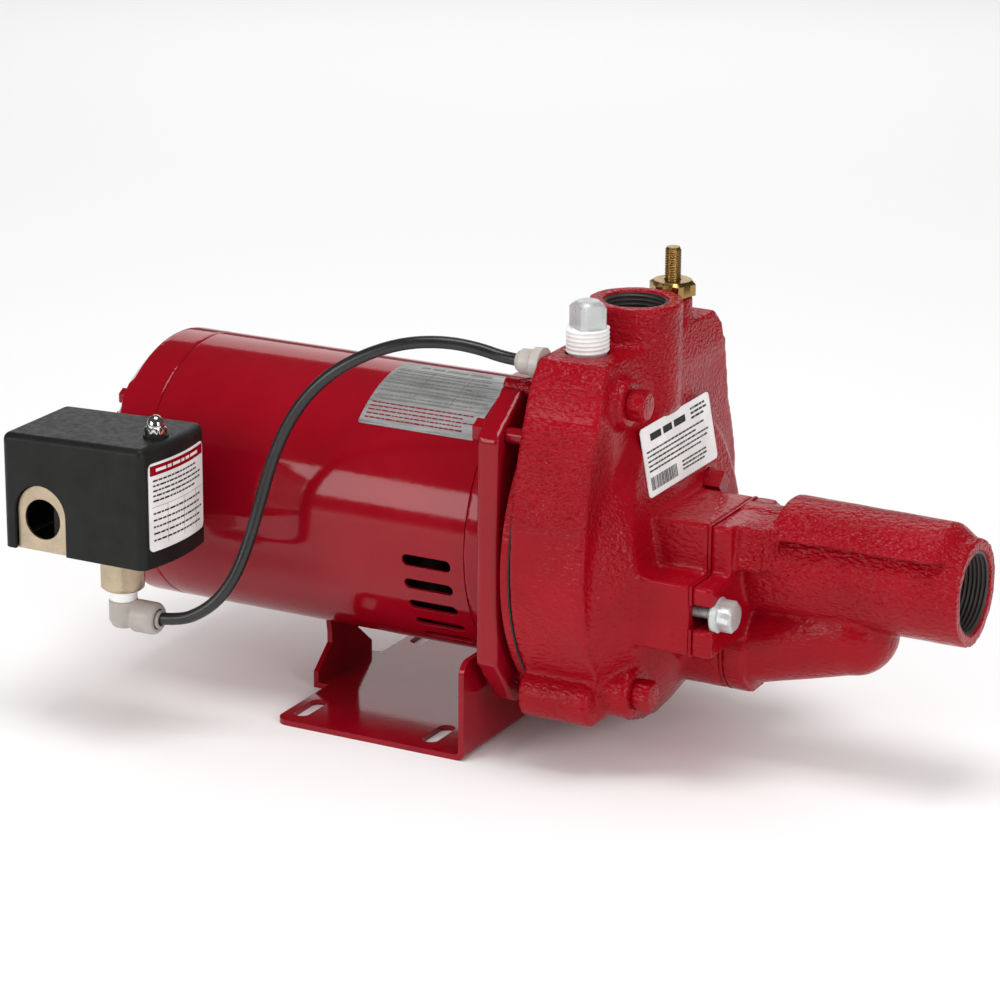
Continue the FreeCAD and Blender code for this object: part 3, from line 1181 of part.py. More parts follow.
def tube_connector():
    """Straight push-fit connector screwed into the casing's back."""
    at = ("joint_y", "joint_up")
    collar = rod("joint_radius", ("joint_rear",) + at, "casing_rear - 4 - joint_rear")
    hexagon = nut("2 * joint_radius + 1.5", ("casing_rear - 4",) + at, "4")
    screw = rod("joint_thread", ("casing_rear", "joint_y + 3", "joint_up - 4"),
                "joint_front - casing_rear")
    socket = rod("tube_radius", ("joint_rear - 1",) + at, "joint_deep + 1")
    return piece("tube_connector", cut(join(collar, hexagon, screw), socket))


def rounded_path(points):
    """Straight runs joined by tangent arcs, each arc as large as its two runs allow."""
    share = 0.45
    spots = [Vector(*point) for point in points]
    edges, start, radii = [], spots[0], []
    for before, corner, after in zip(spots, spots[1:], spots[2:]):
        into = (corner - before).normalize()
        out_of = (after - corner).normalize()
        setback = share * min((corner - before).Length, (after - corner).Length)
        radii.append(setback / math.tan(into.getAngle(out_of) / 2))
        arc_start, arc_end = corner - into * setback, corner + out_of * setback
        middle = (out_of - into).normalize()
        centre = corner + middle * math.hypot(setback, radii[-1])
        edges.append(Part.LineSegment(start, arc_start).toShape())
        edges.append(Part.Arc(arc_start, centre - middle * radii[-1], arc_end).toShape())
        start = arc_end
    edges.append(Part.LineSegment(start, spots[-1]).toShape())
    return Part.Wire(edges), radii


def pressure_tube():
    """Nylon tube from the switch elbow to the casing, over the near side of the motor."""
    path, radii = rounded_path(TUBE_ROUTE)
    print("tube radii", ["%.0f" % radius for radius in radii], "length %.1f" % path.Length)
    radius = size("tube_radius")
    section = Part.Wire(Part.makeCircle(radius, Vector(*TUBE_ROUTE[0]), Vector(1, 0, 0)))
    solid = path.makePipeShell([section], True, False)
    print("tube volume %.1f, section by length %.1f"
          % (solid.Volume, math.pi * radius ** 2 * path.Length))
    thing = document.addObject("Part::Feature", "pressure_tube")
    thing.Shape = solid
    return piece("pressure_tube", thing)


# ---------------------------------------------------------------- the whole pump

def build():
    motor_base()
    motor_shell()
    rear_end_bell()
    front_end_bell()
    through_bolts()
    flange_screws()
    stator_core()
    stator_windings()
    motor_shaft()
    rotor_core()
    bearings()
    governor()
    start_switch()
    capacitor()
    terminal_board()
    motor_nameplate()
    seal_adapter()
    shaft_seal()
    impeller()
    diffuser()
    pump_casing()
    casing_bolts()
    pump_label()
    jet_gasket()
    jet_body()
    jet_bolts()
    nozzle()
    venturi()
    priming_plug()
    front_plugs()
    regulator()
    switch_base()
    switch_cover()
    cover_fixings()
    switch_label()
    pressure_port()
    contact_gear()
    switch_springs()
    terminal_block()
    conduit_nipple()
    tube_elbow()
    tube_connector()
    pressure_tube()


def check():
    """Stop if any object failed or any sub-part is empty or broken."""
    document.recompute()
    failed = [thing.Label for thing in document.Objects
              if "Invalid" in thing.State or "Error" in thing.State]
    broken = [thing.Label for thing in pieces
              if thing.Shape.isNull() or not thing.Shape.Solids or not thing.Shape.isValid()]
    if failed or broken:
        raise RuntimeError("failed %s, broken %s" % (failed, broken))


def export():
    os.makedirs("parts", exist_ok=True)
    for thing in pieces:
        thing.Shape.exportStep("parts/%s.step" % thing.Label)
        print("%-18s %d solid(s) %12.1f mm3" % (thing.Label, len(thing.Shape.Solids),
                                               thing.Shape.Volume))
    print(len(pieces), "nodes")


build()
check()
export()
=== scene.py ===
"""The looks of a shallow well jet pump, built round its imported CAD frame.

Metres, in the frame of the CAD: +X along the shaft towards the suction port, +Z up. Places come from
the boxes of the CAD nodes and from the mounts of the record.
"""

import bmesh
import bpy
import json
import math
import random
from mathutils import Matrix, Vector, noise


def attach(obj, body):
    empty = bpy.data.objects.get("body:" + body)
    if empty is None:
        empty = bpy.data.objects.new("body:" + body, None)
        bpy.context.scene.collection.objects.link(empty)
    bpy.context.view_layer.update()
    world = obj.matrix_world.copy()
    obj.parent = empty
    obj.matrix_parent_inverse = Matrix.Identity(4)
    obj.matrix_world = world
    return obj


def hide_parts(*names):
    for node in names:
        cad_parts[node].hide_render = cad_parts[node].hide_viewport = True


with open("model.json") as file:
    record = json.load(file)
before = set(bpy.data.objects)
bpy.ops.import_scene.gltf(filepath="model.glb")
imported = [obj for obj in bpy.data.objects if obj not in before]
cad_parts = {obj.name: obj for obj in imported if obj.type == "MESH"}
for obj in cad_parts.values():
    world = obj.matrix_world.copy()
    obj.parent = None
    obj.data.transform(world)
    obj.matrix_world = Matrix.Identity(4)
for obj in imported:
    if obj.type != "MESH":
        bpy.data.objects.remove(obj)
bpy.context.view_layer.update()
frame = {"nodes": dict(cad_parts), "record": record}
nodes = frame["nodes"]
record = frame["record"]

MM = 0.001
# nodes of iron and rubber that were painted along with the casing
PAINTED_OVER = ("front_plugs", "jet_gasket")
UP, ALONG = (0, 0, 1), (1, 0, 0)
BODY = {node: body for body, members in record["behaviour"]["bodies"].items() for node in members}
SLOT = {row["node"]: row["material_slot"] for row in record["subparts"]}
MOUNT = {mount["name"]: mount for mount in record["mounts"]}
SHAFT_Z = MOUNT["suction_port"]["pos_m"][2]


# ---------------------------------------------------------------- camera, light and floor

def set_camera():
    """The photograph's viewpoint: a long lens from the front right, a little above."""
    azimuth, elevation, roll = (math.radians(angle) for angle in (27.76, 17.94, 0.39))
    aim, distance = Vector((0.0606, -0.0393, 0.1258)), 1.874
    back = Vector((math.sin(azimuth) * math.cos(elevation), -math.cos(azimuth) * math.cos(elevation),
                   math.sin(elevation)))
    data = bpy.data.cameras.new("camera")
    data.sensor_width, data.lens = 36, 133.8
    camera = bpy.data.objects.new("camera", data)
    camera.location = aim + back * distance
    turn = (-back).to_track_quat("-Z", "Y").to_matrix().to_4x4()
    camera.rotation_euler = (turn @ Matrix.Rotation(roll, 4, "Z")).to_euler()
    bpy.context.scene.collection.objects.link(camera)
    bpy.context.scene.camera = camera


def softbox(name, spot, aim, width, height, power):
    """A rectangular panel of light that faces a point."""
    data = bpy.data.lights.new(name, "AREA")
    data.shape, data.size, data.size_y, data.energy = "RECTANGLE", width, height, power
    light = bpy.data.objects.new(name, data)
    light.location = spot
    light.rotation_euler = (Vector(aim) - Vector(spot)).to_track_quat("-Z", "Y").to_euler()
    bpy.context.scene.collection.objects.link(light)


def set_light():
    """A white studio with broad panels front left, behind, overhead and right.

    The room around them is white to the camera and bright as fill, but dim in reflections.
    """
    centre = (0.06, 0, 0.12)
    softbox("front_left", (-0.95, -1.75, 0.75), centre, 1.1, 0.7, 12)
    softbox("behind", (-0.9, 1.9, 0.95), centre, 1.8, 1.0, 7)
    softbox("overhead", (0.15, -0.25, 1.9), centre, 1.0, 0.7, 15)
    softbox("right", (1.9, -0.9, 0.8), centre, 0.6, 0.9, 12)
    world = bpy.data.worlds.new("room")
    bpy.context.scene.world = world
    world.use_nodes = True
    tree = world.node_tree
    path = tree.nodes.new("ShaderNodeLightPath").outputs
    strength = None
    for seen, value, rest in (("Is Diffuse Ray", 0.6, 0.08), ("Is Camera Ray", 1.1, None)):
        mix = tree.nodes.new("ShaderNodeMix")
        tree.links.new(path[seen], mix.inputs["Factor"])
        mix.inputs["B"].default_value = value
        if rest is None:
            tree.links.new(strength, mix.inputs["A"])
        else:
            mix.inputs["A"].default_value = rest
        strength = mix.outputs["Result"]
    background = tree.nodes["Background"]
    background.inputs["Color"].default_value = (1, 1, 1, 1)
    tree.links.new(strength, background.inputs["Strength"])
    bpy.context.scene.view_settings.view_transform = "Standard"


def set_floor():
    """A plain pale floor."""
    mesh = bpy.data.meshes.new("floor")
    half = 8
    mesh.from_pydata([(-half, -half, 0), (half, -half, 0), (half, half, 0), (-half, half, 0)], [],
                     [(0, 1, 2, 3)])
    floor = bpy.data.objects.new("floor", mesh)
    bpy.context.scene.collection.objects.link(floor)
    mesh.materials.append(plain_material("floor", (0.95, 0.95, 0.95), 0.9))


# ---------------------------------------------------------------- materials

class Shader:
    """A Principled material and short calls that add nodes to it."""

    def __init__(self, name, colour, roughness, metallic=0.0, coat=0.0, coat_roughness=0.05,
                 specular=0.5, edge=0.0006):
        self.material = bpy.data.materials.new(name)
        self.material.use_nodes = True
        self.tree = self.material.node_tree
        self.main = self.tree.nodes["Principled BSDF"]
        self.main.inputs["Base Color"].default_value = (*colour, 1)
        self.main.inputs["Roughness"].default_value = roughness
        self.main.inputs["Metallic"].default_value = metallic
        self.main.inputs["Coat Weight"].default_value = coat
        self.main.inputs["Coat Roughness"].default_value = coat_roughness
        self.main.inputs["Specular IOR Level"].default_value = specular
        self.place = self.add("ShaderNodeTexCoord").outputs["Object"]
        worn = self.add("ShaderNodeBevel", {"Radius": edge}, samples=4)
        self.link(worn.outputs["Normal"], "Normal")

    def add(self, kind, inputs=None, **settings):
        node = self.tree.nodes.new(kind)
        for key, value in settings.items():
            setattr(node, key, value)
        for key, value in (inputs or {}).items():
            if isinstance(value, bpy.types.NodeSocket):
                self.tree.links.new(value, node.inputs[key])
            else:
                node.inputs[key].default_value = value
        return node

    def link(self, output, name):
        self.tree.links.new(output, self.main.inputs[name])

    def grain(self, scale, detail=2.0, stretch=None, roughness=0.5, distortion=0.0):
        """Noise in the frame's own metres; scale is the number of lumps in a metre."""
        place = self.place
        if stretch:
            place = self.add("ShaderNodeMapping", {"Vector": place, "Scale": stretch}).outputs[0]
        made = self.add("ShaderNodeTexNoise", {
            "Vector": place, "Scale": scale, "Detail": detail, "Roughness": roughness,
            "Distortion": distortion})
        return made.outputs["Fac"]

    def axes(self):
        """The place's x, y and z as three values."""
        return tuple(self.add("ShaderNodeSeparateXYZ", {"Vector": self.place}).outputs)

    def ramp(self, value, low, high, start=0.0, end=1.0):
        made = self.add("ShaderNodeMapRange", {
            "Value": value, "From Min": low, "From Max": high, "To Min": start, "To Max": end})
        return made.outputs["Result"]

    def maths(self, operation, *values):
        made = self.add("ShaderNodeMath", operation=operation)
        for socket, value in zip(made.inputs, values):
            if isinstance(value, bpy.types.NodeSocket):
                self.tree.links.new(value, socket)
            else:
                socket.default_value = value
        return made.outputs[0]

    def tint(self, factor, first, second, name="Base Color"):
        """Mix two colours by a factor and use them for a colour socket."""
        made = self.add("ShaderNodeMix", data_type="RGBA")
        self.tree.links.new(factor, made.inputs["Factor"])
        for key, colour in (("A", first), ("B", second)):
            socket = next(s for s in made.inputs if s.name == key and s.type == "RGBA")
            if isinstance(colour, bpy.types.NodeSocket):
                self.tree.links.new(colour, socket)
            else:
                socket.default_value = (*colour, 1)
        output = next(s for s in made.outputs if s.type == "RGBA")
        if name:
            self.link(output, name)
        return output

    def bump(self, height, distance, strength=1.0):
        """Relief of a height in metres; more than one call adds up."""
        previous = self.main.inputs["Normal"].links
        inputs = {"Height": height, "Distance": distance, "Strength": strength}
        if previous:
            inputs["Normal"] = previous[0].from_socket
        self.link(self.add("ShaderNodeBump", inputs).outputs["Normal"], "Normal")


def plain_material(name, colour, roughness, metallic=0.0):
    return Shader(name, colour, roughness, metallic).material


def enamel():
    """Smooth gloss enamel on steel: very faint waviness and dust."""
    paint = Shader("red_enamel", (0.25, 0.002, 0.009), 0.1, specular=0.3)
    paint.tint(paint.ramp(paint.grain(22, 4), 0.35, 0.7), (0.245, 0.0015, 0.008),
               (0.28, 0.003, 0.011))
    paint.link(paint.ramp(paint.grain(160, 3), 0.3, 0.75, 0.07, 0.13), "Roughness")
    paint.bump(paint.grain(420, 1), 0.00004, 0.5)
    return paint.material


def cast_paint():
    """Gloss paint over a sand casting: an orange peel, coarser in some places than others."""
    paint = Shader("red_cast", (0.30, 0.0015, 0.008), 0.2, specular=0.18, edge=0.001)
    paint.tint(paint.ramp(paint.grain(30, 4), 0.35, 0.7), (0.275, 0.001, 0.007),
               (0.33, 0.002, 0.010))
    paint.link(paint.ramp(paint.grain(240, 3), 0.3, 0.75, 0.15, 0.28), "Roughness")
    x, y, z = paint.axes()
    near_band = paint.maths("MULTIPLY", paint.ramp(z, 0.126, 0.134), paint.ramp(z, 0.186, 0.178))
    near_band = paint.maths("MULTIPLY", near_band, paint.ramp(y, -0.055, -0.07))
    barrel = paint.maths("MULTIPLY", paint.ramp(x, 0.185, 0.2), paint.ramp(z, 0.08, 0.1, 0.2, 0.8))
    neck = paint.ramp(z, 0.18, 0.195, 0.0, 0.6)
    patches = paint.ramp(paint.grain(14, 1), 0.42, 0.62, 0.1, 0.4)
    where = paint.maths("MAXIMUM", paint.maths("MAXIMUM", near_band, barrel),
                        paint.maths("MAXIMUM", neck, patches))
    coarse = paint.maths("MULTIPLY", paint.grain(430, 1.5, (0.7, 1, 1.3), 0.55), where)
    paint.bump(paint.grain(150, 2), 0.0004, 0.4)
    paint.bump(coarse, 0.0026, 1.0)
    return paint.material


def metal(name, colour, roughness, streak=None, coat=0.0, metallic=1.0):
    """Bare or plated metal with faint machining or drawing marks."""
    shader = Shader(name, colour, roughness, metallic, coat=coat)
    darker = tuple(part * 0.8 for part in colour)
    shader.tint(shader.ramp(shader.grain(90, 4), 0.3, 0.7), darker, colour)
    shader.link(shader.ramp(shader.grain(700, 2, streak), 0.3, 0.7, roughness * 0.75,
                            roughness * 1.35), "Roughness")
    shader.bump(shader.grain(1500, 2, streak), 0.00003, 0.5)
    return shader.material


def moulding(name, colour, roughness, lump=2200, relief=0.00005, coat=0.0, specular=0.5):
    """Plastic, rubber or board with a fine moulded grain."""
    shader = Shader(name, colour, roughness, coat=coat, specular=specular)
    lighter = tuple(min(1, part * 1.25 + 0.004) for part in colour)
    shader.tint(shader.ramp(shader.grain(60, 4), 0.35, 0.75), colour, lighter)
    shader.link(shader.ramp(shader.grain(300, 3), 0.3, 0.7, roughness * 0.85, roughness * 1.2),
                "Roughness")
    shader.bump(shader.grain(lump, 2), relief, 0.6)
    return shader.material


def make_materials():
    along = (0.05, 1, 1)
    return {
        "red_enamel": enamel(),
        "red_cast": cast_paint(),
        "lamination": metal("lamination", (0.02, 0.02, 0.02), 0.6, (14, 1, 1)),
        # The windings are near black and barely shiny as painted shade inside the motor's vents; copper
        # windings would be far lighter.
        "winding": moulding("winding", (0.008, 0.003, 0.002), 0.7, specular=0.05),
        "bright_steel": metal("bright_steel", (0.55, 0.55, 0.56), 0.22, along),
        "zinc": metal("zinc", (0.62, 0.63, 0.63), 0.36, metallic=0.45),
        "zinc_gold": metal("zinc_gold", (0.62, 0.50, 0.36), 0.42),
        "bright_nickel": metal("bright_nickel", (0.82, 0.80, 0.76), 0.08),
        "grey_moulding": moulding("grey_moulding", (0.18, 0.18, 0.17), 0.5),
        "grey_plastic": moulding("grey_plastic", (0.40, 0.36, 0.33), 0.38),
        "black_plastic": moulding("black_plastic", (0.010, 0.010, 0.0095), 0.42, specular=0.18),
        "board": moulding("board", (0.11, 0.05, 0.02), 0.55),
        "foil": metal("foil", (0.62, 0.62, 0.62), 0.5, along),
        "label": moulding("label", (0.74, 0.73, 0.72), 0.4, relief=0.00001, specular=0.3),
        "gasket": moulding("gasket", (0.012, 0.012, 0.012), 0.7),
        "ceramic": moulding("ceramic", (0.75, 0.72, 0.66), 0.2, coat=0.4),
        "carbon": moulding("carbon", (0.02, 0.02, 0.022), 0.35),
        "noryl": moulding("noryl", (0.025, 0.025, 0.025), 0.5),
        "brass": metal("brass", (0.44, 0.27, 0.09), 0.28),
        "grey_iron": metal("grey_iron", (0.62, 0.63, 0.63), 0.36, metallic=0.45),
        # Near black, non-metal finish for the cut threads inside the outlet and the suction port.
        "dark_thread_iron": moulding("dark_thread_iron", (0.040, 0.035, 0.032), 0.45, specular=0.4),
        "tape": moulding("tape", (0.80, 0.80, 0.79), 0.45, 900, 0.0001),
        "black_tube": moulding("black_tube", (0.012, 0.012, 0.012), 0.3),
    }


# ---------------------------------------------------------------- mesh tools

def show(name, mesh):
    """Put a mesh or curve into the scene."""
    thing = bpy.data.objects.new(name, mesh)
    bpy.context.scene.collection.objects.link(thing)
    return thing


def finished(name, work, angle=35):
    """A bmesh as an object, smooth except across edges sharper than the angle."""
    bmesh.ops.remove_doubles(work, verts=work.verts, dist=1e-7)
    bmesh.ops.recalc_face_normals(work, faces=work.faces)
    mesh = bpy.data.meshes.new(name)
    work.to_mesh(mesh)
    work.free()
    mesh.shade_smooth()
    mesh.set_sharp_from_angle(angle=math.radians(angle))
    return show(name, mesh)


def dress(piece, node, finish=None):
    """A new piece rides with a CAD node and takes its finish, or the one named."""
    finish = finish or SLOT[node]
    piece.data.materials.clear()
    piece.data.materials.append(MATERIAL[finish])
    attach(piece, BODY[node])
    return piece


def stand_for(piece, *replaced, finish=None):
    """Dress a piece and show it in place of CAD nodes."""
    dress(piece, replaced[0], finish)
    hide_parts(*replaced)
    return piece


def skin(rows, closed=False, work=None):
    """A surface through rows of points that run all the way round. Closed joins the last row to
    the first, and otherwise both ends are capped."""
    work = work or bmesh.new()
    rings = [[work.verts.new(point) for point in row] for row in rows]
    pairs = list(zip(rings, rings[1:])) + ([(rings[-1], rings[0])] if closed else [])
    for first, second in pairs:
        for here in range(len(first)):
            there = (here + 1) % len(first)
            work.faces.new((first[here], first[there], second[there], second[here]))
    if not closed:
        work.faces.new(rings[0])
        work.faces.new(rings[-1])
    return work


def aimed(spot, axis):
    """The frame whose Z runs along an axis from a spot."""
    turn = Vector(axis).to_track_quat("Z", "Y").to_matrix().to_4x4()
    return Matrix.Translation(Vector(spot)) @ turn


def ring_row(frame_at, radius, along, steps):
    """Points round a circle; radius is a number or a function of the angle."""
    row = []
    for step in range(steps):
        angle = math.tau * step / steps
        reach = radius(angle) if callable(radius) else radius
        row.append(frame_at @ Vector((reach * math.cos(angle), reach * math.sin(angle), along)))
    return row


def turned(profile, spot, axis, steps=72, sides=0, flats=0.0, spin=0.0, closed=False, work=None):
    """Turn (radius, along) points about an axis. With sides, no wider than a bar of that many
    flats, so a cone in the profile chamfers its corners."""
    place = aimed(spot, axis)

    def limited(radius):
        def reach(angle):
            off = (angle - math.radians(spin)) % (math.tau / sides) - math.pi / sides
            return min(radius, flats / 2 / math.cos(off))
        return reach

    rows = [ring_row(place, limited(radius) if sides else radius, along, steps)
            for radius, along in profile]
    return skin(rows, closed, work)


def threaded(radius, depth, pitch, length, spot, axis, outer=None, steps=48, lean=1, work=None):
    """A screw thread of crest radius, or inside a ring of an outer radius when one is given."""
    place = aimed(spot, axis)
    count = max(8, round(length / pitch * 8))
    rows = []
    for number in range(count + 1):
        along = length * number / count
        inward = depth if outer is None else -depth

        def reach(angle):
            wave = 0.5 - 0.5 * math.cos(math.tau * along / pitch - lean * angle)
            return radius - inward * wave
        rows.append(ring_row(place, reach, along, steps))
    if outer is None:
        return skin(rows, False, work)
    rows += [ring_row(place, outer, length, steps), ring_row(place, outer, 0, steps)]
    return skin(rows, True, work)


def applied(thing):
    """The object with its modifiers made real."""
    graph = bpy.context.evaluated_depsgraph_get()
    mesh = bpy.data.meshes.new_from_object(thing.evaluated_get(graph))
    thing.modifiers.clear()
    thing.data = mesh
    return thing


def fused(name, sources, voxel, rounds, lumps=0.0, lump_size=0.012):
    """Meshes melted into one even skin with soft edges, and lumps of a height in metres."""
    work = bmesh.new()
    for source in sources:
        work.from_mesh(source)
    mesh = bpy.data.meshes.new(name)
    work.to_mesh(mesh)
    work.free()
    thing = show(name, mesh)
    remesh = thing.modifiers.new("remesh", "REMESH")
    remesh.mode, remesh.voxel_size = "VOXEL", voxel
    soften = thing.modifiers.new("soften", "SMOOTH")
    soften.factor, soften.iterations = 0.5, rounds
    applied(thing)
    mesh = thing.data
    mesh.shade_smooth()
    if lumps:
        outward = [vertex.normal.copy() for vertex in mesh.vertices]
        places = []
        for vertex, normal in zip(mesh.vertices, outward):
            swell = noise.noise(vertex.co / lump_size)
            swell += 0.3 * noise.noise(vertex.co / (lump_size * 0.3))
            places.extend(vertex.co + normal * swell * lumps)
        mesh.vertices.foreach_set("co", places)
        mesh.update()
    return thing


def made_from(*works):
    """Meshes out of bmeshes, for fusing."""
    meshes = []
    for work in works:
        bmesh.ops.recalc_face_normals(work, faces=work.faces)
        mesh = bpy.data.meshes.new("part")
        work.to_mesh(mesh)
        work.free()
        meshes.append(mesh)
    return meshes


def slab(work, where, corners, lift, thick, corner=0.0, step=0.005):
    """Add a thin plate to a bmesh. Where turns (u, v, height) into a place on the object."""
    u0, v0, u1, v1 = corners
    levels = [(v0, 0.0), (v1, 0.0)]
    if corner:
        bends = [corner * (1 - math.cos(math.radians(turn))) for turn in range(0, 91, 15)]
        insets = [corner * (1 - math.sin(math.radians(turn))) for turn in range(0, 91, 15)]
        levels = [(v0 + bend, inset) for bend, inset in zip(bends, insets)]
        levels += [(v1 - bend, inset) for bend, inset in zip(reversed(bends), reversed(insets))]
    rows = []
    for (low, low_inset), (high, high_inset) in zip(levels, levels[1:]):
        parts = max(1, math.ceil((high - low) / step))
        for part in range(parts):
            share = part / parts
            rows.append((low + (high - low) * share,
                         low_inset + (high_inset - low_inset) * share))
    rows.append(levels[-1])
    count = max(1, math.ceil((u1 - u0) / step))
    faces = []
    for height in (lift, lift + thick):
        grid = [[work.verts.new(where(u0 + inset + (u1 - u0 - 2 * inset) * part / count, v, height))
                 for part in range(count + 1)] for v, inset in rows]
        faces.append(grid)
    bottom, top = faces
    for grid in faces:
        for first, second in zip(grid, grid[1:]):
            for part in range(count):
                work.faces.new((first[part], first[part + 1], second[part + 1], second[part]))
    border = [(row, 0) for row in range(len(rows))] + [(len(rows) - 1, c) for c in
                                                       range(1, count + 1)]
    border += [(row, count) for row in range(len(rows) - 2, -1, -1)]
    border += [(0, c) for c in range(count - 1, 0, -1)]
    for (row, column), (next_row, next_column) in zip(border, border[1:] + border[:1]):
        work.faces.new((bottom[row][column], bottom[next_row][next_column],
                        top[next_row][next_column], top[row][column]))


def printed(name, node, where, marks, lift, finish):
    """Printed marks on a label as one thin raised piece."""
    work = bmesh.new()
    for corners in marks:
        slab(work, where, corners, lift, 0.00006)
    return dress(finished(name, work), node, finish)


def lines_of_print(chance, area, rows, tall, cover=0.8):
    """Short bars in rows, in place of lines of text."""
    u0, v0, u1, v1 = area
    marks = []
    for row in range(rows):
        v = v1 - (v1 - v0) * (row + 0.5) / rows
        u, end = u0, u0 + (u1 - u0) * chance.uniform(cover, 1)
        while u < end - 2 * tall:
            long = min(chance.uniform(1.5, 5) * tall, end - u)
            marks.append((u, v - tall / 2, u + long, v + tall / 2))
            u += long + tall * 0.7
    return marks


# ---------------------------------------------------------------- places of the CAD pieces

def corners_of(points):
    return Vector(map(min, zip(*points))), Vector(map(max, zip(*points)))


def box(node):
    """The low and high corners of a node."""
    return corners_of([tuple(vertex.co) for vertex in nodes[node].data.vertices])


def solids(node):
    """The low and high corners of each separate solid of a node."""
    work = bmesh.new()
    work.from_mesh(nodes[node].data)
    bmesh.ops.remove_doubles(work, verts=work.verts, dist=1e-6)
    boxes, seen = [], set()
    for start in work.verts:
        if start in seen:
            continue
        seen.add(start)
        group, waiting = [], [start]
        while waiting:
            vertex = waiting.pop()
            group.append(tuple(vertex.co))
            for edge in vertex.link_edges:
                other = edge.other_vert(vertex)
                if other not in seen:
                    seen.add(other)
                    waiting.append(other)
        boxes.append(corners_of(group))
    work.free()
    return boxes


def foot_and_height(node):
    """The middle of a node's underside, and how tall the node is."""
    low, high = box(node)
    return ((low.x + high.x) / 2, (low.y + high.y) / 2, low.z), high.z - low.z


def hex_corner(flats):
    """The radius of a hexagon's corners from the distance across its flats."""
    return flats / 2 / math.cos(math.pi / 6)


# ---------------------------------------------------------------- castings and their threads

CASTINGS = {
    # node: voxel, smoothing rounds, height of the casting's lumps
    "pump_casing": (1.6, 5, 0.18),
    "jet_body": (1.3, 4, 0.15),
    "front_end_bell": (1.4, 3, 0.10),
    "rear_end_bell": (1.3, 3, 0.08),
}


def castings():
    """Remeshed skins with soft edges and a little of the sand mould's unevenness."""
    for node, (voxel, rounds, lumps) in CASTINGS.items():
        piece = fused(node + "_cast", [nodes[node].data], voxel * MM, rounds, lumps * MM)
        stand_for(piece, node)


def pipe_threads():
    """The cut threads inside the outlet and the suction port, from just inside each face."""
    for name, mount, node, crest, rim in (
            ("outlet_thread", "discharge_port", "pump_casing", 14.9, 17.5),
            ("port_thread", "suction_port", "jet_body", 19.5, 22.2)):
        axis = Vector(MOUNT[mount]["axis"])
        long = MOUNT[mount]["dims"]["length_mm"] * MM
        root = Vector(MOUNT[mount]["pos_m"]) - axis * long / 2
        work = threaded(crest * MM, 1.1 * MM, 2.2 * MM, long - 1.2 * MM, root, axis, outer=rim * MM)
        piece = dress(finished(name, work, 60), node, "grey_iron")
        piece.data.materials[0] = MATERIAL["dark_thread_iron"]


# ---------------------------------------------------------------- bolts

BOLT_FLATS, BOLT_SHANK = 14.3 * MM, 4.7 * MM


def hex_bolt(work, spot, long, head, flats, shank, washer=0.0, spin=0.0):
    """A hex bolt along X from its tip; its head has chamfered corners and may stand on a flange."""
    corner = hex_corner(flats)
    seat, ease = long - head, 0.8 * MM
    turned([(shank, 0), (shank, seat + ease)], spot, ALONG, work=work)
    turned([(corner - ease, seat), (corner, seat + ease), (corner, long - 1.3 * ease),
            (flats * 0.46, long - 0.2 * ease), (flats * 0.42, long)],
           spot, ALONG, sides=6, flats=flats, spin=spin, work=work)
    if washer:
        turned([(washer - ease, seat - 2.4 * MM), (washer, seat - 1.6 * MM), (washer, seat - 0.8 * MM),
                (corner * 0.98, seat + 0.9 * MM)], spot, ALONG, work=work)


def middle(low, high):
    return (low.x, (low.y + high.y) / 2, (low.z + high.z) / 2)


def casing_bolt_set():
    """The casing's bolts, painted over with it."""
    work = bmesh.new()
    for low, high in solids("casing_bolts"):
        hex_bolt(work, middle(low, high), high.x - low.x, 9 * MM, BOLT_FLATS, BOLT_SHANK)
    stand_for(finished("casing_bolt_set", work), "casing_bolts", finish="red_cast")


def jet_bolt_set():
    """Plated flange bolts whose thin threaded shanks show in the slots."""
    work = bmesh.new()
    for low, high in solids("jet_bolts"):
        spot, long = middle(low, high), high.x - low.x
        hex_bolt(work, spot, long, 8.5 * MM, BOLT_FLATS, 2.4 * MM, washer=10 * MM, spin=12)
        threaded(3.1 * MM, 0.5 * MM, 1.25 * MM, long - 9.5 * MM, spot, ALONG, work=work)
    stand_for(finished("jet_bolt_set", work), "jet_bolts")


# ---------------------------------------------------------------- plug, regulator and acorn nut

def priming_plug():
    """Square-headed pipe plug with a chamfered dome, over the thread that holds its tape."""
    spot, tall = foot_and_height("priming_plug")
    across = 14 * MM
    neck, corner = 21 * MM, across / 2 * math.sqrt(2)
    work = turned([(8.8 * MM, 0), (9.8 * MM, MM), (9.8 * MM, neck - MM), (8.6 * MM, neck)],
                  spot, UP)
    turned([(corner, neck - 0.5 * MM), (corner, tall - 3.6 * MM), (7.9 * MM, tall - 2 * MM),
            (5.6 * MM, tall - 0.5 * MM), (2 * MM, tall)],
           spot, UP, sides=4, flats=across, spin=8, work=work)
    stand_for(finished("plug_body", work, 25), "priming_plug")
    low, high = box("plug_tape")
    tape = threaded(10.9 * MM, 0.55 * MM, 2.1 * MM, high.z - low.z, (spot[0], spot[1], low.z),
                    UP, steps=64)
    for vertex in tape.verts:
        if vertex.co.z > high.z - 0.3 * MM:
            vertex.co.z += 0.45 * MM * noise.noise(vertex.co * 400)
    stand_for(finished("plug_tape_wound", tape, 60), "plug_tape")


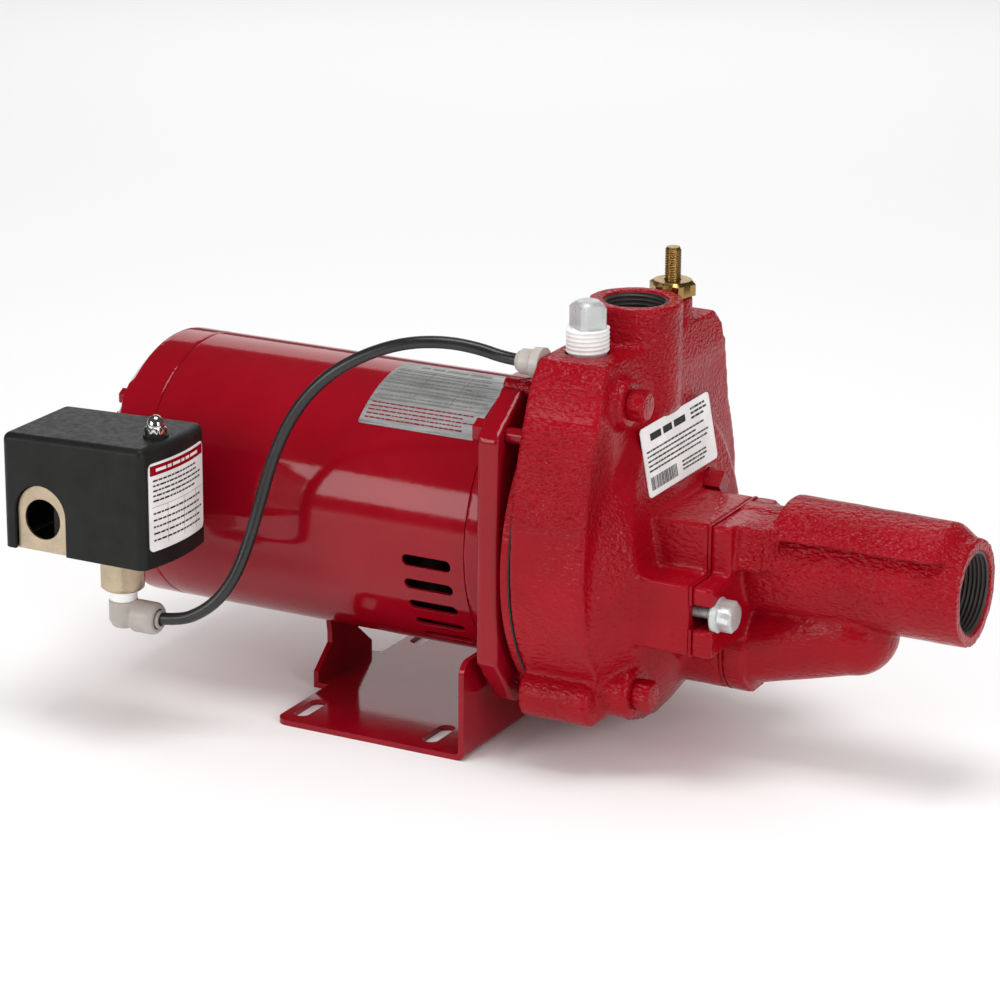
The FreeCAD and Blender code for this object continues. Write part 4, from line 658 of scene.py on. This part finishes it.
def regulator():
    """Brass bonnet, bored for its stem, and the threaded stem that stands out of it."""
    spot, tall = foot_and_height("regulator_bonnet")
    flats, seat = 21 * MM, 16.5 * MM
    corner, bore, neck = hex_corner(flats), 4.35 * MM, 8.9 * MM
    work = turned([(bore, 0), (neck, 0), (neck, seat), (bore, seat)], spot, UP, closed=True)
    turned([(bore, seat), (corner, seat), (corner, tall - 1.6 * MM), (9.6 * MM, tall), (bore, tall)],
           spot, UP, sides=6, flats=flats, spin=10, closed=True, work=work)
    stand_for(finished("bonnet_body", work), "regulator_bonnet")
    spot, tall = foot_and_height("regulator_stem")
    foot = 0.1 * MM
    work = threaded(4.2 * MM, 0.5 * MM, 1.25 * MM, tall - foot - 1.2 * MM,
                    (spot[0], spot[1], spot[2] + foot), UP, steps=40)
    turned([(3.9 * MM, tall - 1.3 * MM), (3.3 * MM, tall)], spot, UP, steps=40, work=work)
    stand_for(finished("stem_thread", work, 60), "regulator_stem")


def acorn_nut():
    """Domed nut with a blind bore that clears the cover's stud."""
    spot, tall = foot_and_height("acorn_nut")
    flats = 10 * MM
    corner, dome, bore = hex_corner(flats), 4.6 * MM, 2.6 * MM
    shoulder = 4 * MM
    profile = [(bore, 0), (corner - 0.3 * MM, 0), (corner, 0.3 * MM), (corner, 3.4 * MM),
               (4.9 * MM, shoulder), (bore, shoulder)]
    work = turned(profile, spot, UP, sides=6, flats=flats, spin=20, closed=True)
    arc = [math.radians(turn) for turn in range(0, 91, 10)]
    cap = [(max(dome * math.cos(turn), 0.1 * MM), shoulder + (tall - shoulder) * math.sin(turn))
           for turn in arc]
    cap += [(0.1 * MM, 5.9 * MM), (bore, 5.6 * MM), (bore, shoulder)]
    turned(cap, spot, UP, steps=48, closed=True, work=work)
    stand_for(finished("acorn_nut_body", work), "acorn_nut")


# ---------------------------------------------------------------- switch port, fittings and tube

TUBE_ROUTE = [
    # metres, from inside the switch elbow to inside the casing's connector, as in the CAD
    (-0.1100, -0.1150, 0.0585), (-0.0860, -0.1150, 0.0585), (-0.0680, -0.1115, 0.0678),
    (-0.0575, -0.1065, 0.0815), (-0.0515, -0.1000, 0.1010), (-0.0473, -0.0935, 0.1245),
    (-0.0423, -0.0888, 0.1480), (-0.0330, -0.0845, 0.1700), (-0.0185, -0.0803, 0.1885),
    (0.0005, -0.0753, 0.2017), (0.0210, -0.0690, 0.2098), (0.0405, -0.0625, 0.2116),
    (0.0570, -0.0565, 0.2090), (0.0715, -0.0540, 0.2050), (0.0860, -0.0540, 0.2050),
]
TUBE_RADIUS = 3.175 * MM


def port_and_tape():
    """The hex of the switch's port, its dish, and the tape on the elbow's thread below it."""
    spot, tall = foot_and_height("port_housing")
    low, high = box("port_housing")
    flats, hexagon, dish = 22 * MM, 20 * MM, high.x - low.x
    corner = hex_corner(flats)
    work = turned([(9.8 * MM, 0), (10.9 * MM, 0.9 * MM), (corner, 2.6 * MM), (corner, hexagon)],
                  spot, UP, sides=6, flats=flats, spin=0)
    turned([(dish / 2 - 0.5 * MM, hexagon), (dish / 2, hexagon + 0.5 * MM), (dish / 2, tall)],
           spot, UP, work=work)
    stand_for(finished("port_body", work), "port_housing")
    wound = threaded(7.2 * MM, 0.25 * MM, 1.4 * MM, 5.6 * MM, (spot[0], spot[1], spot[2] - 5.8 * MM),
                     UP)
    dress(finished("elbow_tape", wound, 60), "tube_elbow", "tape")


def elbow():
    """Moulded push-fit elbow, its stepped cup and the collet that grips the tube."""
    (x, y, _), _ = foot_and_height("port_housing")
    level, front = TUBE_ROUTE[0][2], box("tube_elbow")[1].x
    leg, cup = 7.7 * MM, 8.5 * MM
    bottom = level - leg
    parts = made_from(
        turned([(3 * MM, bottom), (6 * MM, bottom + 1.2 * MM), (leg, bottom + 4.5 * MM),
                (leg, 65.7 * MM), (7.2 * MM, 66.2 * MM)], (x, y, 0), UP),
        turned([(6.9 * MM, 0), (6.9 * MM, front - x - 11 * MM)], (x, y, level), ALONG),
        turned([(cup - 0.9 * MM, 0), (cup, 1.2 * MM), (cup, 12.4 * MM), (cup - 1.2 * MM, 14.2 * MM),
                (5.2 * MM, 14.4 * MM), (5.2 * MM, 10 * MM), (3.4 * MM, 10 * MM)],
               (front - 14.4 * MM, y, level), ALONG))
    stand_for(fused("elbow_body", parts, 0.55 * MM, 2), "tube_elbow")
    collet = [(TUBE_RADIUS + 0.1 * MM, 0), (4.6 * MM, 0), (4.6 * MM, 4.6 * MM), (4.9 * MM, 5.2 * MM),
              (4.7 * MM, 6.2 * MM), (TUBE_RADIUS + 0.1 * MM, 6.2 * MM)]
    work = turned(collet, (front - 4.6 * MM, y, level), ALONG, closed=True)
    dress(finished("elbow_collet", work), "tube_elbow")


def connector():
    """Push-fit connector in the casing's back, with its collet towards the tube."""
    rear = box("tube_connector")[0].x
    y, z = TUBE_ROUTE[-1][1:]
    spot = (rear, y, z)
    seat = box("pump_casing")[0].x - rear
    profile = [(5.4 * MM, 1.8 * MM), (6.4 * MM, 2.6 * MM), (6.6 * MM, seat - 5.6 * MM),
               (8.0 * MM, seat - 4.6 * MM), (8.2 * MM, seat + 0.3 * MM)]
    stand_for(finished("connector_body", turned(profile, spot, ALONG)), "tube_connector")
    collet = [(TUBE_RADIUS + 0.1 * MM, 0), (4.8 * MM, 0.2 * MM), (5.2 * MM, 0.8 * MM),
              (5.0 * MM, 3 * MM), (TUBE_RADIUS + 0.1 * MM, 3 * MM)]
    dress(finished("connector_collet", turned(collet, spot, ALONG, closed=True)),
          "tube_connector")


def tube():
    """The black pressure tube on its listed route."""
    curve = bpy.data.curves.new("tube", "CURVE")
    curve.dimensions = "3D"
    curve.bevel_depth, curve.bevel_resolution, curve.use_fill_caps = TUBE_RADIUS, 6, True
    spline = curve.splines.new("NURBS")
    spline.points.add(len(TUBE_ROUTE) - 1)
    for point, place in zip(spline.points, TUBE_ROUTE):
        point.co = (*place, 1)
    spline.order_u, spline.use_endpoint_u, spline.resolution_u = 3, True, 12
    stand_for(show("tube", curve), "pressure_tube")


# ---------------------------------------------------------------- labels

LABEL_THICK = 0.4 * MM
INK_LIFT = LABEL_THICK + 0.02 * MM
SLOPE = math.radians(10.7)
SHELL_RADIUS = 71.5 * MM
PLATE_START, PLATE_SWEEP = math.radians(47.7), math.radians(46)
COVER_BULGE = 105 * MM


def on_slope(u, v, height):
    """The casing's leaning front: u towards +Y, v up the lean, height off the paint."""
    low, high = box("pump_label")
    inward = height - LABEL_THICK / 2
    return (low + high) / 2 + Vector((inward * math.cos(SLOPE) - v * math.sin(SLOPE), u,
                                      inward * math.sin(SLOPE) + v * math.cos(SLOPE)))


def on_shell(u, v, height):
    """The motor shell: u along the shaft, v up round it from the nameplate's lower edge."""
    turn = PLATE_START + v / SHELL_RADIUS
    reach = SHELL_RADIUS + height
    return Vector((u, -reach * math.cos(turn), SHAFT_Z + reach * math.sin(turn)))


def on_cover(u, v, height):
    """The switch cover's bulging front: u along its arc towards +Y, v is the height above the floor."""
    low, high = box("switch_label")
    middle_y = (low.y + high.y) / 2
    turn, reach = u / COVER_BULGE, COVER_BULGE + height
    front = high.x - LABEL_THICK
    return Vector((front - COVER_BULGE + reach * math.cos(turn), middle_y + reach * math.sin(turn), v))


def sheet(name, node, where, area, corner, finish=None):
    work = bmesh.new()
    slab(work, where, area, 0, LABEL_THICK, corner=corner)
    stand_for(finished(name, work), node, finish=finish)


def pump_label():
    """Foil label: a bold block over small print, with a row of thin bars low on the left."""
    chance = random.Random(3)
    half_u, half_v = 40 * MM, 17.5 * MM
    sheet("pump_label_foil", "pump_label", on_slope, (-half_u, -half_v, half_u, half_v), 2.5 * MM,
          "label")
    marks = lines_of_print(chance, (-30 * MM, 9 * MM, 12 * MM, 13.5 * MM), 1, 3.6 * MM, 1)
    marks += lines_of_print(chance, (17 * MM, 8 * MM, 36 * MM, 15 * MM), 3, 1.1 * MM)
    marks += lines_of_print(chance, (-36 * MM, -6 * MM, 36 * MM, 6 * MM), 5, 0.9 * MM, 0.75)
    marks += lines_of_print(chance, (0, -14 * MM, 36 * MM, -8 * MM), 3, 0.9 * MM, 0.6)
    u = -36 * MM
    while u < -6 * MM:
        wide = chance.choice((0.35, 0.6, 0.9)) * MM
        marks.append((u, -14.5 * MM, u + wide, -8 * MM))
        u += wide + chance.choice((0.4, 0.7)) * MM
    printed("pump_label_print", "pump_label", on_slope, marks, INK_LIFT, "black_plastic")


def nameplate():
    """Aluminium nameplate wrapped on the shell, with ruled lines, grey rows and a red block."""
    chance = random.Random(5)
    low, high = box("motor_nameplate")
    u0, u1, tall = low.x, high.x, SHELL_RADIUS * PLATE_SWEEP
    sheet("nameplate_sheet", "motor_nameplate", on_shell, (u0, 0, u1, tall), 1.5 * MM)
    edge, line = 2.5 * MM, 0.3 * MM
    marks = [(u0 + edge, tall * part, u1 - edge, tall * part + line)
             for part in (0.3, 0.42, 0.54, 0.66, 0.8)]
    marks += [(u0 + (u1 - u0) * part, tall * 0.3, u0 + (u1 - u0) * part + line, tall * 0.8)
              for part in (0.34, 0.67)]
    marks += lines_of_print(chance, (u0 + edge, tall * 0.32, u1 - edge, tall * 0.8), 8, 0.9 * MM, 0.7)
    marks += lines_of_print(chance, (u0 + 12 * MM, tall * 0.84, u1 - 12 * MM, tall * 0.95), 1,
                            2.4 * MM, 1)
    printed("nameplate_print", "motor_nameplate", on_shell, marks, INK_LIFT, "grey_moulding")
    marks = lines_of_print(chance, (u0 + edge, tall * 0.05, u1 - edge, tall * 0.27), 5, 0.8 * MM, 0.85)
    printed("nameplate_red_print", "motor_nameplate", on_shell, marks, INK_LIFT, "red_enamel")


def switch_label():
    """White label: a red band with white bars over a ruled table of small print."""
    chance = random.Random(8)
    low, high = box("switch_label")
    half = 25 * MM
    sheet("switch_label_sheet", "switch_label", on_cover, (-half, low.z, half, high.z), 3 * MM)
    band = high.z - 6.4 * MM
    printed("switch_label_band", "switch_label", on_cover,
            [(-half + MM, band, half - MM, band + 5.2 * MM)], INK_LIFT, "red_enamel")
    bars = lines_of_print(chance, (-20 * MM, band + 1.2 * MM, 20 * MM, band + 4 * MM), 1, 1.6 * MM, 1)
    printed("switch_label_band_print", "switch_label", on_cover, bars, INK_LIFT + 0.1 * MM, "label")
    level, line = (low.z + high.z) / 2, 0.3 * MM
    rules = [(-half + 2 * MM, level, half - 2 * MM, level + line)]
    rules += [(-half + 2 * half * part, low.z + 3 * MM, -half + 2 * half * part + line, level)
              for part in (0.27, 0.55, 0.80)]
    printed("switch_label_rules", "switch_label", on_cover, rules, INK_LIFT, "grey_plastic")
    rows = lines_of_print(chance, (-22 * MM, level + 2 * MM, 22 * MM, band - 1.5 * MM), 5, 0.9 * MM)
    rows += lines_of_print(chance, (-22 * MM, low.z + 4 * MM, 22 * MM, level - 1.5 * MM), 5,
                           0.9 * MM, 0.9)
    printed("switch_label_print", "switch_label", on_cover, rows, INK_LIFT, "black_plastic")


# ---------------------------------------------------------------- start

set_camera()
set_light()
set_floor()
MATERIAL = make_materials()
for name, thing in nodes.items():
    thing.data.materials.clear()
    thing.data.materials.append(MATERIAL["red_cast" if name in PAINTED_OVER else SLOT[name]])

castings()
pipe_threads()
casing_bolt_set()
jet_bolt_set()
priming_plug()
regulator()
acorn_nut()
port_and_tape()
elbow()
connector()
tube()
pump_label()
nameplate()
switch_label()
